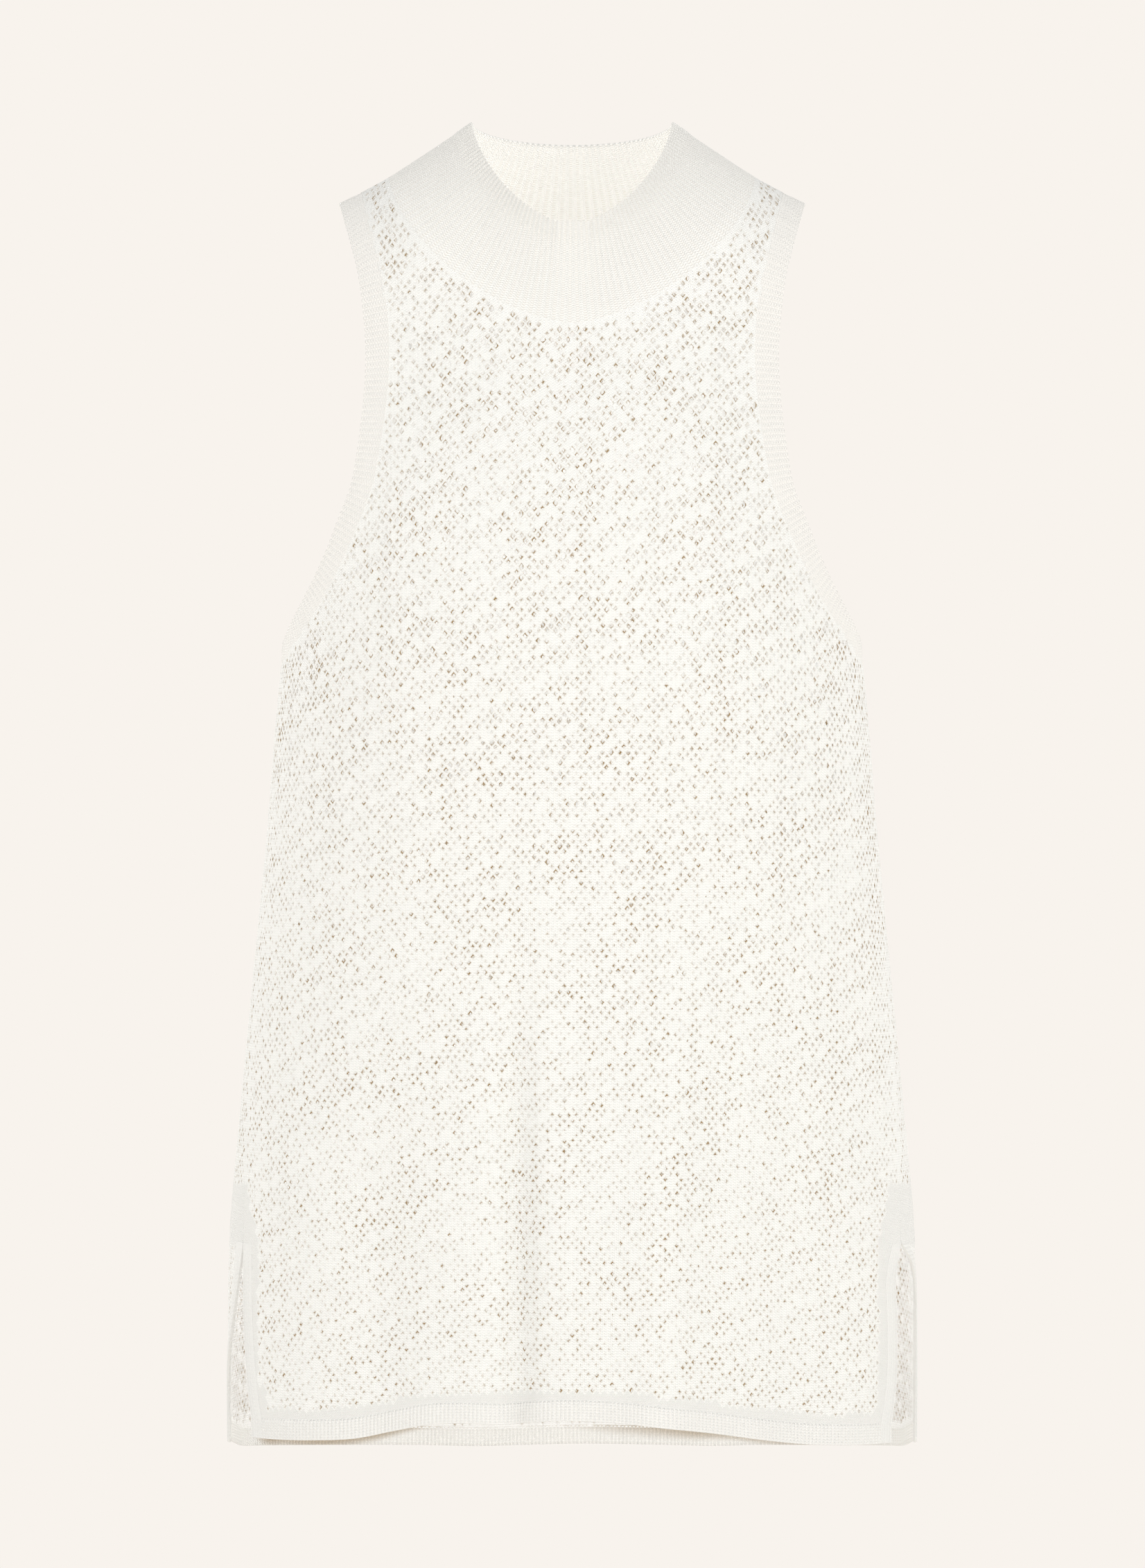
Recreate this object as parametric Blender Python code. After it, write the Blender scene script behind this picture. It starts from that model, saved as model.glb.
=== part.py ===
"""A long sleeveless knit top with a funnel collar, filled out and hollow.

Metres, +Z up, +X to the viewer's right, the front at -Y. The origin lies midway between the shoulder tips.
A point of the garment's form has two coordinates: theta, the angle round the body from the centre front
(0) by the side (90 degrees) to the centre back (180 degrees), negative on the left, and h, the height along
the cloth, which is the plain height z wherever the cloth hangs, and grows past it where it rolls over the shoulder.
"""

import math

import bmesh
import bpy
import numpy as np
from mathutils import Vector
from mathutils.geometry import delaunay_2d_cdt

# Driving sizes, in metres
PANEL_THICK = 0.0016
BAND_THICK = 0.0018
RIB_RELIEF = 0.0009
SEAM_GAP = 0.0003
SECTION_POWER = 2.2  # 2 is an ellipse, and more is boxier
SHOULDER_HALF = 0.137
SHOULDER_TIP_Z = -0.002  # of the inner face
SHOULDER_SLOPE = 0.533
SHOULDER_ROLL = 0.075  # how far down the cloth takes to turn from level to upright
ARMHOLE_DROP = 0.261
ARMHOLE_BACK_INSET = 0.004
ARMHOLE_BAND = 0.0145
NECK_HALF = 0.107
NECK_FRONT_DROP = 0.092
NECK_BACK_DROP = 0.026
RIM_HALF = 0.0585
RIM_SIDE_Z = 0.0465
RIM_FRONT_DEPTH = 0.064
RIM_FRONT_DROP = 0.0660  # that of its curve, which is cut level at the next one
RIM_LEVEL_DROP = 0.0636
RIM_BACK_DEPTH = 0.065
RIM_BACK_DROP = 0.005
FRONT_CURVE_POWER = 1.6  # the collar's front curves, between a V (1) and an ellipse (2)
COLLAR_HOLLOW = 0.0025
SLIT_TOP = -0.611
SLIT_BAND = 0.0100
HEM_BAND = 0.0102
HEM_CORNER = 0.0030
BACK_HEM_MID = -0.7476
BACK_HEM_SIDE_RISE = 0.0139
BACK_HEM_HALF = 0.204
BACK_CORNER_X = 0.1925  # where the back hem starts to rise into its rounded corners
BACK_CORNER_WIDTH = 0.0090
BACK_CORNER_RISE = 0.0050

# How many ribs each band has, and how many columns of its outer face share one straight stretch of its inner face
COLLAR_FRONT_RIBS, COLLAR_BACK_RIBS, COLLAR_ROWS = 72, 60, 4
ARMHOLE_RIBS = 96  # on the front half, and again on the back half
FRONT_HEM_RIBS, BACK_HEM_RIBS = 168, 220
SLIT_RIBS = 4
COLUMNS_PER_CHORD = 8
SLIT_ROWS = 9
SIDE_ROWS = 14
PANEL_COLUMN = 0.0165  # between the points inside a panel, across and up
PANEL_ROW = 0.036

# The form: height, half width, depth of the front, depth of the back
FORM = np.array(
    [
        (0.050, 0.1640, 0.079, 0.083),
        (0.000, 0.1620, 0.081, 0.088),
        (-0.050, 0.1585, 0.084, 0.096),
        (-0.100, 0.1575, 0.093, 0.103),
        (-0.150, 0.1590, 0.106, 0.106),
        (-0.200, 0.1635, 0.115, 0.106),
        (-0.261, 0.1692, 0.119, 0.102),
        (-0.310, 0.1738, 0.118, 0.098),
        (-0.370, 0.1786, 0.115, 0.095),
        (-0.450, 0.1863, 0.113, 0.096),
        (-0.530, 0.1940, 0.114, 0.101),
        (-0.610, 0.2008, 0.117, 0.108),
        (-0.680, 0.2018, 0.120, 0.113),
        (-0.750, 0.2014, 0.122, 0.117),
    ]
)[::-1]

# The armhole's edge seen from the front: height, half width
ARMHOLE = np.array(
    [
        (0.0000, 0.1370),
        (-0.0270, 0.1288),
        (-0.0480, 0.1234),
        (-0.0690, 0.1205),
        (-0.0895, 0.1189),
        (-0.1200, 0.1197),
        (-0.1500, 0.1232),
        (-0.1700, 0.1267),
        (-0.1900, 0.1343),
        (-0.2100, 0.1422),
        (-0.2300, 0.1520),
        (-0.2493, 0.1630),
        (-0.2610, 0.1692),
    ]
)[::-1]

# The front hem: x, height
FRONT_HEM = np.array(
    [
        (-0.190, -0.7231),
        (-0.150, -0.7208),
        (-0.123, -0.7184),
        (-0.100, -0.7131),
        (-0.080, -0.7087),
        (-0.062, -0.7077),
        (-0.036, -0.7083),
        (-0.008, -0.7055),
        (0.030, -0.7073),
        (0.078, -0.7134),
        (0.128, -0.7218),
        (0.190, -0.7262),
    ]
)

# The slits' edges: drop below the slit's top, then theta in degrees of the front edge on the right and on the left,
# and of the back edge on the right and on the left
SLIT_EDGES = np.array(
    [
        (0.000, 70.6, 70.6, 70.9, 70.9),
        (0.015, 67.6, 70.2, 80.0, 72.2),
        (0.045, 67.6, 69.5, 86.5, 77.0),
        (0.085, 66.8, 67.1, 87.5, 86.5),
        (0.105, 64.6, 65.1, 87.0, 87.0),
        (0.125, 63.0, 63.2, 86.5, 86.5),
    ]
)

# Soft folds, each fading in downwards: centre x, half width, height of its top, length of the fade, how far it
# stands out (negative is a trough)
FRONT_FOLDS = (
    (-0.030, 0.011, -0.400, 0.160, -0.0070),
    (0.051, 0.018, -0.420, 0.160, 0.0060),
    (0.000, 0.024, -0.480, 0.160, 0.0040),
    (-0.112, 0.026, -0.430, 0.200, -0.0060),
    (0.128, 0.028, -0.440, 0.200, -0.0060),
)
BACK_FOLDS = (
    (-0.060, 0.024, -0.400, 0.200, -0.0070),
    (0.010, 0.030, -0.420, 0.200, 0.0060),
    (0.085, 0.022, -0.380, 0.220, -0.0060),
)

OFF_WHITE = (0.90, 0.875, 0.83)
ROUGHNESS = 0.9
ROLL_EXTRA = (math.pi / 2 - 1) * SHOULDER_ROLL
DOMAIN_SCALE = 0.18  # metres across the panels' flat outlines for one radian of theta


def smooth(table, column, at):
    """A cubic curve through one column of a table, read against its first column, level past its ends."""
    xs = table[:, 0]
    ys = table[:, column]
    at = np.clip(np.asarray(at, float), xs[0], xs[-1])
    slopes = np.gradient(ys, xs)
    i = np.clip(np.searchsorted(xs, at) - 1, 0, len(xs) - 2)
    step = xs[i + 1] - xs[i]
    t = (at - xs[i]) / step
    rise = ys[i + 1] - ys[i]
    a = slopes[i] * step - rise
    b = rise - slopes[i + 1] * step
    return ys[i] + t * rise + t * (1 - t) * ((1 - t) * a + t * b)


def fade(value):
    """From 0 to 1, with level ends."""
    value = np.clip(value, 0, 1)
    return value * value * (3 - 2 * value)


def shoulder_line(x):
    return SHOULDER_TIP_Z + (SHOULDER_HALF - np.abs(x)) * SHOULDER_SLOPE


def fold_height(folds, x, z):
    return sum(
        out * np.exp(-(((x - middle) / half) ** 2)) * fade((top - z) / length)
        for middle, half, top, length, out in folds
    )


def skin(theta, h):
    """The inner face of the cloth at each theta and h."""
    theta, h = np.broadcast_arrays(np.asarray(theta, float), np.asarray(h, float))
    power = 2 / SECTION_POWER
    across = np.abs(np.sin(theta)) ** power * np.sign(np.sin(theta))
    along = np.abs(np.cos(theta)) ** power
    z = h.copy()
    for _ in range(6):
        half = smooth(FORM, 1, z)
        x = half * across
        down = np.maximum(shoulder_line(x) + ROLL_EXTRA - h, 0)
        rolled = np.minimum(down / SHOULDER_ROLL, math.pi / 2)
        drop = SHOULDER_ROLL * (1 - np.cos(rolled)) + np.maximum(down - SHOULDER_ROLL * math.pi / 2, 0)
        z = shoulder_line(x) - drop
    front = np.cos(theta) > 0
    depth = np.where(front, smooth(FORM, 2, z), smooth(FORM, 3, z))
    y = np.where(front, -1, 1) * depth * along * np.sin(rolled)
    out_x, out_y = x / half**2, y / depth**2
    size = np.maximum(np.hypot(out_x, out_y), 1e-9)
    fold = np.where(front, fold_height(FRONT_FOLDS, x, z), fold_height(BACK_FOLDS, x, z)) * along
    return np.stack([x + fold * out_x / size, y + fold * out_y / size, z], axis=-1)


def normals(theta, h):
    """Unit vectors out of the cloth."""
    step_theta, step_h = 1e-3, 2e-4
    across = skin(theta + step_theta, h) - skin(theta - step_theta, h)
    up = skin(theta, h + step_h) - skin(theta, h - step_h)
    out = np.cross(across, up)
    return out / np.linalg.norm(out, axis=-1, keepdims=True)


def theta_of(x, z, front=True):
    """The angle round the body at which the form is x to the side."""
    share = np.clip(np.abs(x) / smooth(FORM, 1, z), 0, 1)
    angle = np.arcsin(share ** (SECTION_POWER / 2))
    return np.where(front, angle, math.pi - angle) * np.where(np.asarray(x) < 0, -1, 1)


def h_of(x, z):
    """The height along the cloth at a plain height."""
    drop = np.maximum(shoulder_line(x) - z, 0)
    rolled = SHOULDER_ROLL * np.arccos(1 - np.minimum(drop / SHOULDER_ROLL, 1))
    down = np.where(drop < SHOULDER_ROLL, rolled, drop + ROLL_EXTRA)
    return shoulder_line(x) + ROLL_EXTRA - down


def spaced(theta, h, count):
    """count + 1 places, evenly far apart on the form, along a curve given by close places."""
    points = skin(theta, h)
    run = np.concatenate([[0], np.cumsum(np.linalg.norm(np.diff(points, axis=0), axis=1))])
    at = np.linspace(0, run[-1], count + 1)
    return np.interp(at, run, theta), np.interp(at, run, h)


def moved(theta, h, direction, distance):
    """Places that lie the distance away along the cloth."""
    target = skin(theta, h) + direction * distance
    theta, h = theta.copy(), h.copy()
    for _ in range(4):
        here = skin(theta, h)
        by_theta = (skin(theta + 1e-4, h) - here) / 1e-4
        by_h = (skin(theta, h - 1e-4) - here) / -1e-4
        miss = target - here
        aa, bb, ab = (by_theta**2).sum(-1), (by_h**2).sum(-1), (by_theta * by_h).sum(-1)
        am, bm = (by_theta * miss).sum(-1), (by_h * miss).sum(-1)
        scale = np.maximum(aa * bb - ab * ab, 1e-12)
        theta += (am * bb - bm * ab) / scale
        h += (bm * aa - am * ab) / scale
    return theta, h


def mirrored(curve):
    theta, h = curve
    return -theta, h


def joined(*curves):
    """Curves run one after another, each next one without its first place."""
    theta = np.concatenate([curves[0][0]] + [curve[0][1:] for curve in curves[1:]])
    h = np.concatenate([curves[0][1]] + [curve[1][1:] for curve in curves[1:]])
    return theta, h


def backwards(curve):
    return curve[0][::-1], curve[1][::-1]


# Edges that pieces share. Each is given for the right side, from the bottom up or from the shoulder down.


def armhole_edge():
    """The free edge of the right armhole, from the shoulder down the front and up the back."""
    turn = np.linspace(0, math.pi, 241)
    z = SHOULDER_TIP_Z - (ARMHOLE_DROP + SHOULDER_TIP_Z) * (1 - np.cos(turn)) / 2
    x = smooth(ARMHOLE, 1, z)
    x[0] = SHOULDER_HALF
    columns = 2 * ARMHOLE_RIBS
    front = spaced(theta_of(x, z), h_of(x, z), columns)
    x_back = x - ARMHOLE_BACK_INSET * np.sin(turn)
    back = spaced(theta_of(x_back, z, False), h_of(x_back, z), columns)
    return front, backwards(back)


def armhole_seam(half, is_front):
    """Where a panel meets the armhole's band: the places of one half's chords, from the shoulder down."""
    theta, h = half
    points = skin(theta, h)
    along = np.gradient(points, axis=0)
    along[-1] = (0, 1 if is_front else -1, 0)
    along[0] = (0, -1 if is_front else 1, 0)
    along /= np.linalg.norm(along, axis=1, keepdims=True)
    inward = np.cross(normals(theta, h), along)
    if inward[len(inward) // 2, 0] > 0:
        inward = -inward
    nodes = slice(None, None, COLUMNS_PER_CHORD)
    seam_theta, seam_h = moved(theta[nodes], h[nodes], inward[nodes], ARMHOLE_BAND)
    # the ends lie on the shoulder's ridge and on the side
    x = SHOULDER_HALF - ARMHOLE_BAND / math.hypot(1, SHOULDER_SLOPE)
    seam_theta[0] = theta_of(x, shoulder_line(x), is_front)
    seam_h[0] = h_of(x, shoulder_line(x))
    seam_theta[-1] = math.pi / 2
    seam_h[-1] = -ARMHOLE_DROP - ARMHOLE_BAND
    return seam_theta, seam_h


def neck_curve(drop, is_front, power):
    """The neckline from the right shoulder round to the left one."""
    turn = np.linspace(0, math.pi / 2, 161)
    x = NECK_HALF * np.cos(turn) ** (2 / power)
    z = shoulder_line(NECK_HALF) - drop * np.sin(turn) ** (2 / power)
    right = theta_of(x, z, is_front), h_of(x, z)
    left = backwards(mirrored(right))
    return joined(right, left if is_front else (left[0] + 2 * math.pi, left[1]))


def front_hem(x):
    return smooth(FRONT_HEM, 1, x)


def back_hem(x):
    share = np.clip(np.abs(x) / BACK_HEM_HALF, 0, 1)
    corner = np.clip((np.abs(x) - BACK_CORNER_X) / BACK_CORNER_WIDTH, 0, 1) ** 3
    level = BACK_HEM_MID + BACK_HEM_SIDE_RISE * (1 - (1 - share**SECTION_POWER) ** (1 / SECTION_POWER))
    return level + BACK_CORNER_RISE * corner


def slit_edge(is_front, side, z):
    """theta of a slit's free edge, as a size without a sign."""
    column = (1 if is_front else 3) + (side < 0)
    return np.radians(smooth(SLIT_EDGES, column, SLIT_TOP - z))


def slit_lines(is_front, side, hem):
    """Theta and h of the lines of a slit's band: its free edge first, then one for each column. Each runs
    straight up beside the hem's band, then on to the slit's top."""
    inward = -1 if is_front else 1
    bottom = hem(0.0)
    for _ in range(4):
        z = np.linspace(bottom + HEM_BAND, SLIT_TOP, SLIT_ROWS + 1)
        edge = slit_edge(is_front, side, z)
        here = skin(edge, z)
        rate = np.linalg.norm(skin(edge + 0.01 * inward, z) - here, axis=1) / 0.01
        band_end = skin(edge + inward * SLIT_BAND / rate, z)[0]
        bottom = float(hem(side * band_end[0]))
    lines = []
    for share in np.linspace(0, 1, 2 * SLIT_RIBS + 1):
        theta = (edge + inward * share * SLIT_BAND / rate) * side
        lines.append((np.append(theta[0], theta), np.append(bottom, z)))
    return lines


def side_seam():
    """The side seam of the right side, from the slit's top up to the armhole's band."""
    z = np.linspace(SLIT_TOP, -ARMHOLE_DROP - ARMHOLE_BAND, SIDE_ROWS + 1)
    share = (z - SLIT_TOP) / (z[-1] - SLIT_TOP)
    start = math.radians(SLIT_EDGES[0, 1])
    return start + (math.pi / 2 - start) * share, z


# Making solids


def add_solid(name, points, faces):
    """One closed body, its faces turned outwards, with its own material."""
    shape = bmesh.new()
    for point in points:
        shape.verts.new(Vector(point))
    shape.verts.ensure_lookup_table()
    for face in faces:
        shape.faces.new([shape.verts[i] for i in face])
    bmesh.ops.recalc_face_normals(shape, faces=shape.faces)
    if shape.calc_volume(signed=True) < 0:
        bmesh.ops.reverse_faces(shape, faces=shape.faces)
    mesh = bpy.data.meshes.new(name)
    shape.to_mesh(mesh)
    shape.free()
    mesh.shade_smooth()
    mesh.set_sharp_from_angle(angle=math.radians(60))
    finish = bpy.data.materials.new(name)
    finish.use_nodes = True
    shader = finish.node_tree.nodes["Principled BSDF"]
    shader.inputs["Base Color"].default_value = (*OFF_WHITE, 1)
    shader.inputs["Roughness"].default_value = ROUGHNESS
    shader.inputs["Metallic"].default_value = 0
    mesh.materials.append(finish)
    bpy.context.scene.collection.objects.link(bpy.data.objects.new(name, mesh))


def inset(points, out, turn):
    """A closed outline moved half a seam gap into its own piece. turn is 1 where the outline runs anticlockwise
    seen from outside, and -1 where it runs clockwise."""
    before = points - np.roll(points, 1, axis=0)
    after = np.roll(points, -1, axis=0) - points
    sides = []
    for run in (before, after):
        inward = np.cross(out, run) * turn
        sides.append(inward / np.linalg.norm(inward, axis=1, keepdims=True))
    middle = sides[0] + sides[1]
    reach = np.maximum((middle * sides[0]).sum(axis=1, keepdims=True), 0.5)
    return points + middle / reach * SEAM_GAP / 2


def panel(name, outline, is_front):
    """A wall over a closed outline, which runs anticlockwise seen from the front, filled with evenly spread points."""
    theta, h = outline
    middle = 0 if is_front else math.pi
    across = (np.mod(theta - middle + math.pi, 2 * math.pi) - math.pi) * DOMAIN_SCALE
    squeeze = PANEL_COLUMN / PANEL_ROW
    edge = np.stack([across, h * squeeze], axis=1)
    count = len(edge)
    low, high = edge.min(axis=0), edge.max(axis=0)
    inside = []
    rows = round((high[1] - low[1]) / PANEL_COLUMN)
    columns = int((high[0] - low[0]) / PANEL_COLUMN) + 2
    for j in range(1, rows):
        level = low[1] + (high[1] - low[1]) * j / rows
        for i in range(columns):
            spot = np.array([low[0] + PANEL_COLUMN * (i - 0.5 * (j % 2)), level])
            if clear_inside(spot, edge, PANEL_COLUMN * 0.5):
                inside.append(spot)
    spots = np.concatenate([edge, np.array(inside)])
    loop = [(i, (i + 1) % count) for i in range(count)]
    found = delaunay_2d_cdt([Vector(spot) for spot in spots], loop, [list(range(count))], 1, 1e-7)
    triangles = [tuple(face) for face in found[2]]
    spot_theta = spots[:, 0] / DOMAIN_SCALE + middle
    spot_h = spots[:, 1] / squeeze
    base = skin(spot_theta, spot_h)
    out = normals(spot_theta, spot_h)
    base[:count] = inset(base[:count], out[:count], 1 if is_front else -1)
    points = np.concatenate([base, base + out * PANEL_THICK])
    total = len(base)
    faces = [tuple(i + total for i in face) for face in triangles]
    faces += [face[::-1] for face in triangles]
    faces += [(a, b, b + total, a + total) for a, b in loop]
    add_solid(name, points, faces)


def clear_inside(spot, edge, margin):
    """Whether a spot is inside a closed outline and at least the margin from it."""
    start, end = edge, np.roll(edge, -1, axis=0)
    crosses = (start[:, 1] > spot[1]) != (end[:, 1] > spot[1])
    rise = np.where(crosses, end[:, 1] - start[:, 1], 1)
    at = start[:, 0] + (spot[1] - start[:, 1]) * (end[:, 0] - start[:, 0]) / rise
    if (crosses & (at > spot[0])).sum() % 2 == 0:
        return False
    run = end - start
    share = np.clip(((spot - start) * run).sum(axis=1) / (run**2).sum(axis=1), 0, 1)
    away = np.linalg.norm(start + run * share[:, None] - spot, axis=1)
    return bool(away.min() > margin)


def on_chords(points, step):
    """The points of a curve, moved onto the straight lines between every step-th one."""
    nodes = points[::step]
    index = np.arange(len(points)) / step
    first = np.minimum(index.astype(int), len(nodes) - 2)
    share = (index - first)[:, None]
    return nodes[first] * (1 - share) + nodes[first + 1] * share


def ribbed(name, base, out, closed, step, first_raised=False):
    """A wall from rows of base points, [row, column], whose outer face is raised on every other column, and whose
    inner face keeps every step-th column. Closed means that the last column joins the first."""
    rows, columns = base.shape[:2]
    raised = (np.arange(columns) + first_raised) % 2
    outer = base + out * (BAND_THICK + RIB_RELIEF * raised)[None, :, None]
    inner = base[:, ::step]
    coarse = inner.shape[1]
    points = np.concatenate([outer.reshape(-1, 3), inner.reshape(-1, 3)])
    offset = rows * columns

    def of_outer(row, column):
        return row * columns + column % columns

    def of_inner(row, column):
        return offset + row * coarse + column % coarse

    spans = columns if closed else columns - 1
    coarse_spans = spans // step
    faces = []
    for row in range(rows - 1):
        for i in range(spans):
            faces.append((of_outer(row, i), of_outer(row, i + 1), of_outer(row + 1, i + 1), of_outer(row + 1, i)))
        for i in range(coarse_spans):
            faces.append((of_inner(row + 1, i), of_inner(row + 1, i + 1), of_inner(row, i + 1), of_inner(row, i)))
        if not closed:
            for i, j in ((0, 0), (columns - 1, coarse - 1)):
                faces.append((of_outer(row, i), of_outer(row + 1, i), of_inner(row + 1, j), of_inner(row, j)))
    for row in (0, rows - 1):
        for i in range(coarse_spans):
            start, middle = i * step, i * step + step // 2
            for k in range(start, start + step):
                near = of_inner(row, i if k < middle else i + 1)
                faces.append((near, of_outer(row, k), of_outer(row, k + 1)))
            faces.append((of_inner(row, i), of_outer(row, middle), of_inner(row, i + 1)))
    add_solid(name, points, faces)


def collar():
    """The funnel collar: a tube of ribs from the neckline up to the rim, one column for each rib and each furrow."""
    front = spaced(*neck_curve(NECK_FRONT_DROP, True, FRONT_CURVE_POWER), 2 * COLLAR_FRONT_RIBS)
    back = spaced(*neck_curve(NECK_BACK_DROP, False, SECTION_POWER), 2 * COLLAR_BACK_RIBS)
    back = backwards(back)
    seam = np.concatenate([skin(*front)[:-1], skin(*back)[:-1]])
    out = np.concatenate([normals(*front)[:-1], normals(*back)[:-1]])
    turn = np.linspace(0, math.pi, 321)
    drop = RIM_FRONT_DROP * (1 - np.abs(np.cos(turn)) ** FRONT_CURVE_POWER) ** (1 / FRONT_CURVE_POWER)
    height = RIM_SIDE_Z - np.minimum(drop, RIM_LEVEL_DROP)
    rim_front = np.stack([RIM_HALF * np.cos(turn), -RIM_FRONT_DEPTH * np.sin(turn), height], axis=1)
    height = RIM_SIDE_Z - RIM_BACK_DROP * np.sin(turn)
    rim_back = np.stack([-RIM_HALF * np.cos(turn), RIM_BACK_DEPTH * np.sin(turn), height], axis=1)
    rim = np.concatenate([along_line(rim_front, 2 * COLLAR_FRONT_RIBS), along_line(rim_back, 2 * COLLAR_BACK_RIBS)])
    seam_closed = on_chords(np.concatenate([seam, seam[:1]]), COLUMNS_PER_CHORD)[:-1]
    rows = []
    for share in np.linspace(0, 1, COLLAR_ROWS + 1):
        row = seam_closed * (1 - share) + rim * share
        middle = row * (1, 1, 0)
        middle /= np.linalg.norm(middle, axis=1, keepdims=True)
        facing = np.abs(middle[:, 1:2])
        rows.append(row - middle * facing * COLLAR_HOLLOW * math.sin(math.pi * share))
    base = np.array(rows)
    around = np.roll(base, -1, axis=1) - np.roll(base, 1, axis=1)
    up = np.gradient(base, axis=0)
    wall = np.cross(up, around)
    wall /= np.linalg.norm(wall, axis=2, keepdims=True)
    wall *= np.sign((wall[2] * (base[2] * (1, 1, 0))).sum())
    wall[0] = out
    lift = up[0] / np.linalg.norm(up[0], axis=1, keepdims=True)
    base[0] += lift * SEAM_GAP / 2
    ribbed("collar", base, wall, True, COLUMNS_PER_CHORD)


def along_line(points, count):
    """count points, evenly spread along a line of close ones, without its end."""
    run = np.concatenate([[0], np.cumsum(np.linalg.norm(np.diff(points, axis=0), axis=1))])
    at = np.linspace(0, run[-1], count + 1)[:-1]
    return np.stack([np.interp(at, run, points[:, k]) for k in range(3)], axis=1)


def armhole_band(name, side, edge, seams):
    """A ring of ribs round an armhole, from its free edge to the panels."""
    front, back = edge
    free_theta = np.concatenate([front[0][:-1], back[0][:-1]])
    free_h = np.concatenate([front[1][:-1], back[1][:-1]])
    seam_nodes = np.concatenate([skin(*seams[0])[:-1], skin(*backwards(seams[1]))[:-1]])
    seam_out = np.concatenate([normals(*seams[0])[:-1], normals(*backwards(seams[1]))[:-1]])
    free = skin(free_theta, free_h)
    out_free = normals(free_theta, free_h)
    count = len(free)
    share = np.arange(count) / COLUMNS_PER_CHORD
    first = share.astype(int)
    share = (share - first)[:, None]
    after = (first + 1) % len(seam_nodes)
    seam = seam_nodes[first] * (1 - share) + seam_nodes[after] * share
    out_seam = seam_out[first] * (1 - share) + seam_out[after] * share
    out_seam /= np.linalg.norm(out_seam, axis=1, keepdims=True)
    away = free - seam
    seam = seam + away / np.linalg.norm(away, axis=1, keepdims=True) * SEAM_GAP / 2
    base = np.stack([seam, free])
    out = np.stack([out_seam, out_free])
    flip = np.array([side, 1, 1])
    ribbed(name, base * flip, out * flip, True, COLUMNS_PER_CHORD)


def slit_band(name, is_front, lines, hem):
    """A strip with ribs that run along a slit, from the hem up to the slit's top, its free corner rounded."""
    base, out = [], []
    for column, (theta, z) in enumerate(lines):
        away = column / (2 * SLIT_RIBS) * SLIT_BAND
        lift = 0.0
        if away < HEM_CORNER and not is_front:
            lift = HEM_CORNER - math.sqrt(HEM_CORNER**2 - (HEM_CORNER - away) ** 2)
        z[0] = hem(skin(theta[0], z[0])[0]) + lift
        z[-1] -= SEAM_GAP / 2
        base.append(skin(theta, z))
        out.append(normals(theta, z))
    base, out = np.array(base), np.array(out)
    inward = base[-2] - base[-1]
    base[-1] += inward / np.linalg.norm(inward, axis=1, keepdims=True) * SEAM_GAP / 2
    base = base.transpose(1, 0, 2)
    out = out.transpose(1, 0, 2)
    ribbed(name, base, out, False, 2 * SLIT_RIBS, first_raised=True)


def hem_curve(is_front, left, right, hem, lift, count):
    """Places along a hem, from the left slit's band to the right one's, lift above the hem."""
    turn = np.linspace(left, right if is_front else right - 2 * math.pi, 401)
    z = hem(skin(turn, hem(0))[:, 0]) + lift
    points = skin(turn, z)
    run = np.concatenate([[0], np.cumsum(np.linalg.norm(np.diff(points, axis=0), axis=1))])
    theta = np.interp(np.linspace(0, run[-1], count + 1), run, turn)
    return theta, np.interp(theta, *in_order(turn, z))


def in_order(xs, ys):
    order = np.argsort(xs)
    return xs[order], ys[order]


def hem_band(name, bottom, top):
    """A strip of upright ribs along a hem."""
    base, out = [], []
    for curve, chords in ((bottom, False), (top, True)):
        line = skin(*curve)
        if chords:
            line = on_chords(line, COLUMNS_PER_CHORD)
            line = line - (0, 0, SEAM_GAP / 2)
        run = line[1] - line[0]
        line[0] += run / np.linalg.norm(run) * SEAM_GAP / 2
        run = line[-2] - line[-1]
        line[-1] += run / np.linalg.norm(run) * SEAM_GAP / 2
        base.append(line)
        out.append(normals(*curve))
    ribbed(name, np.array(base), np.array(out), False, COLUMNS_PER_CHORD)


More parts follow.
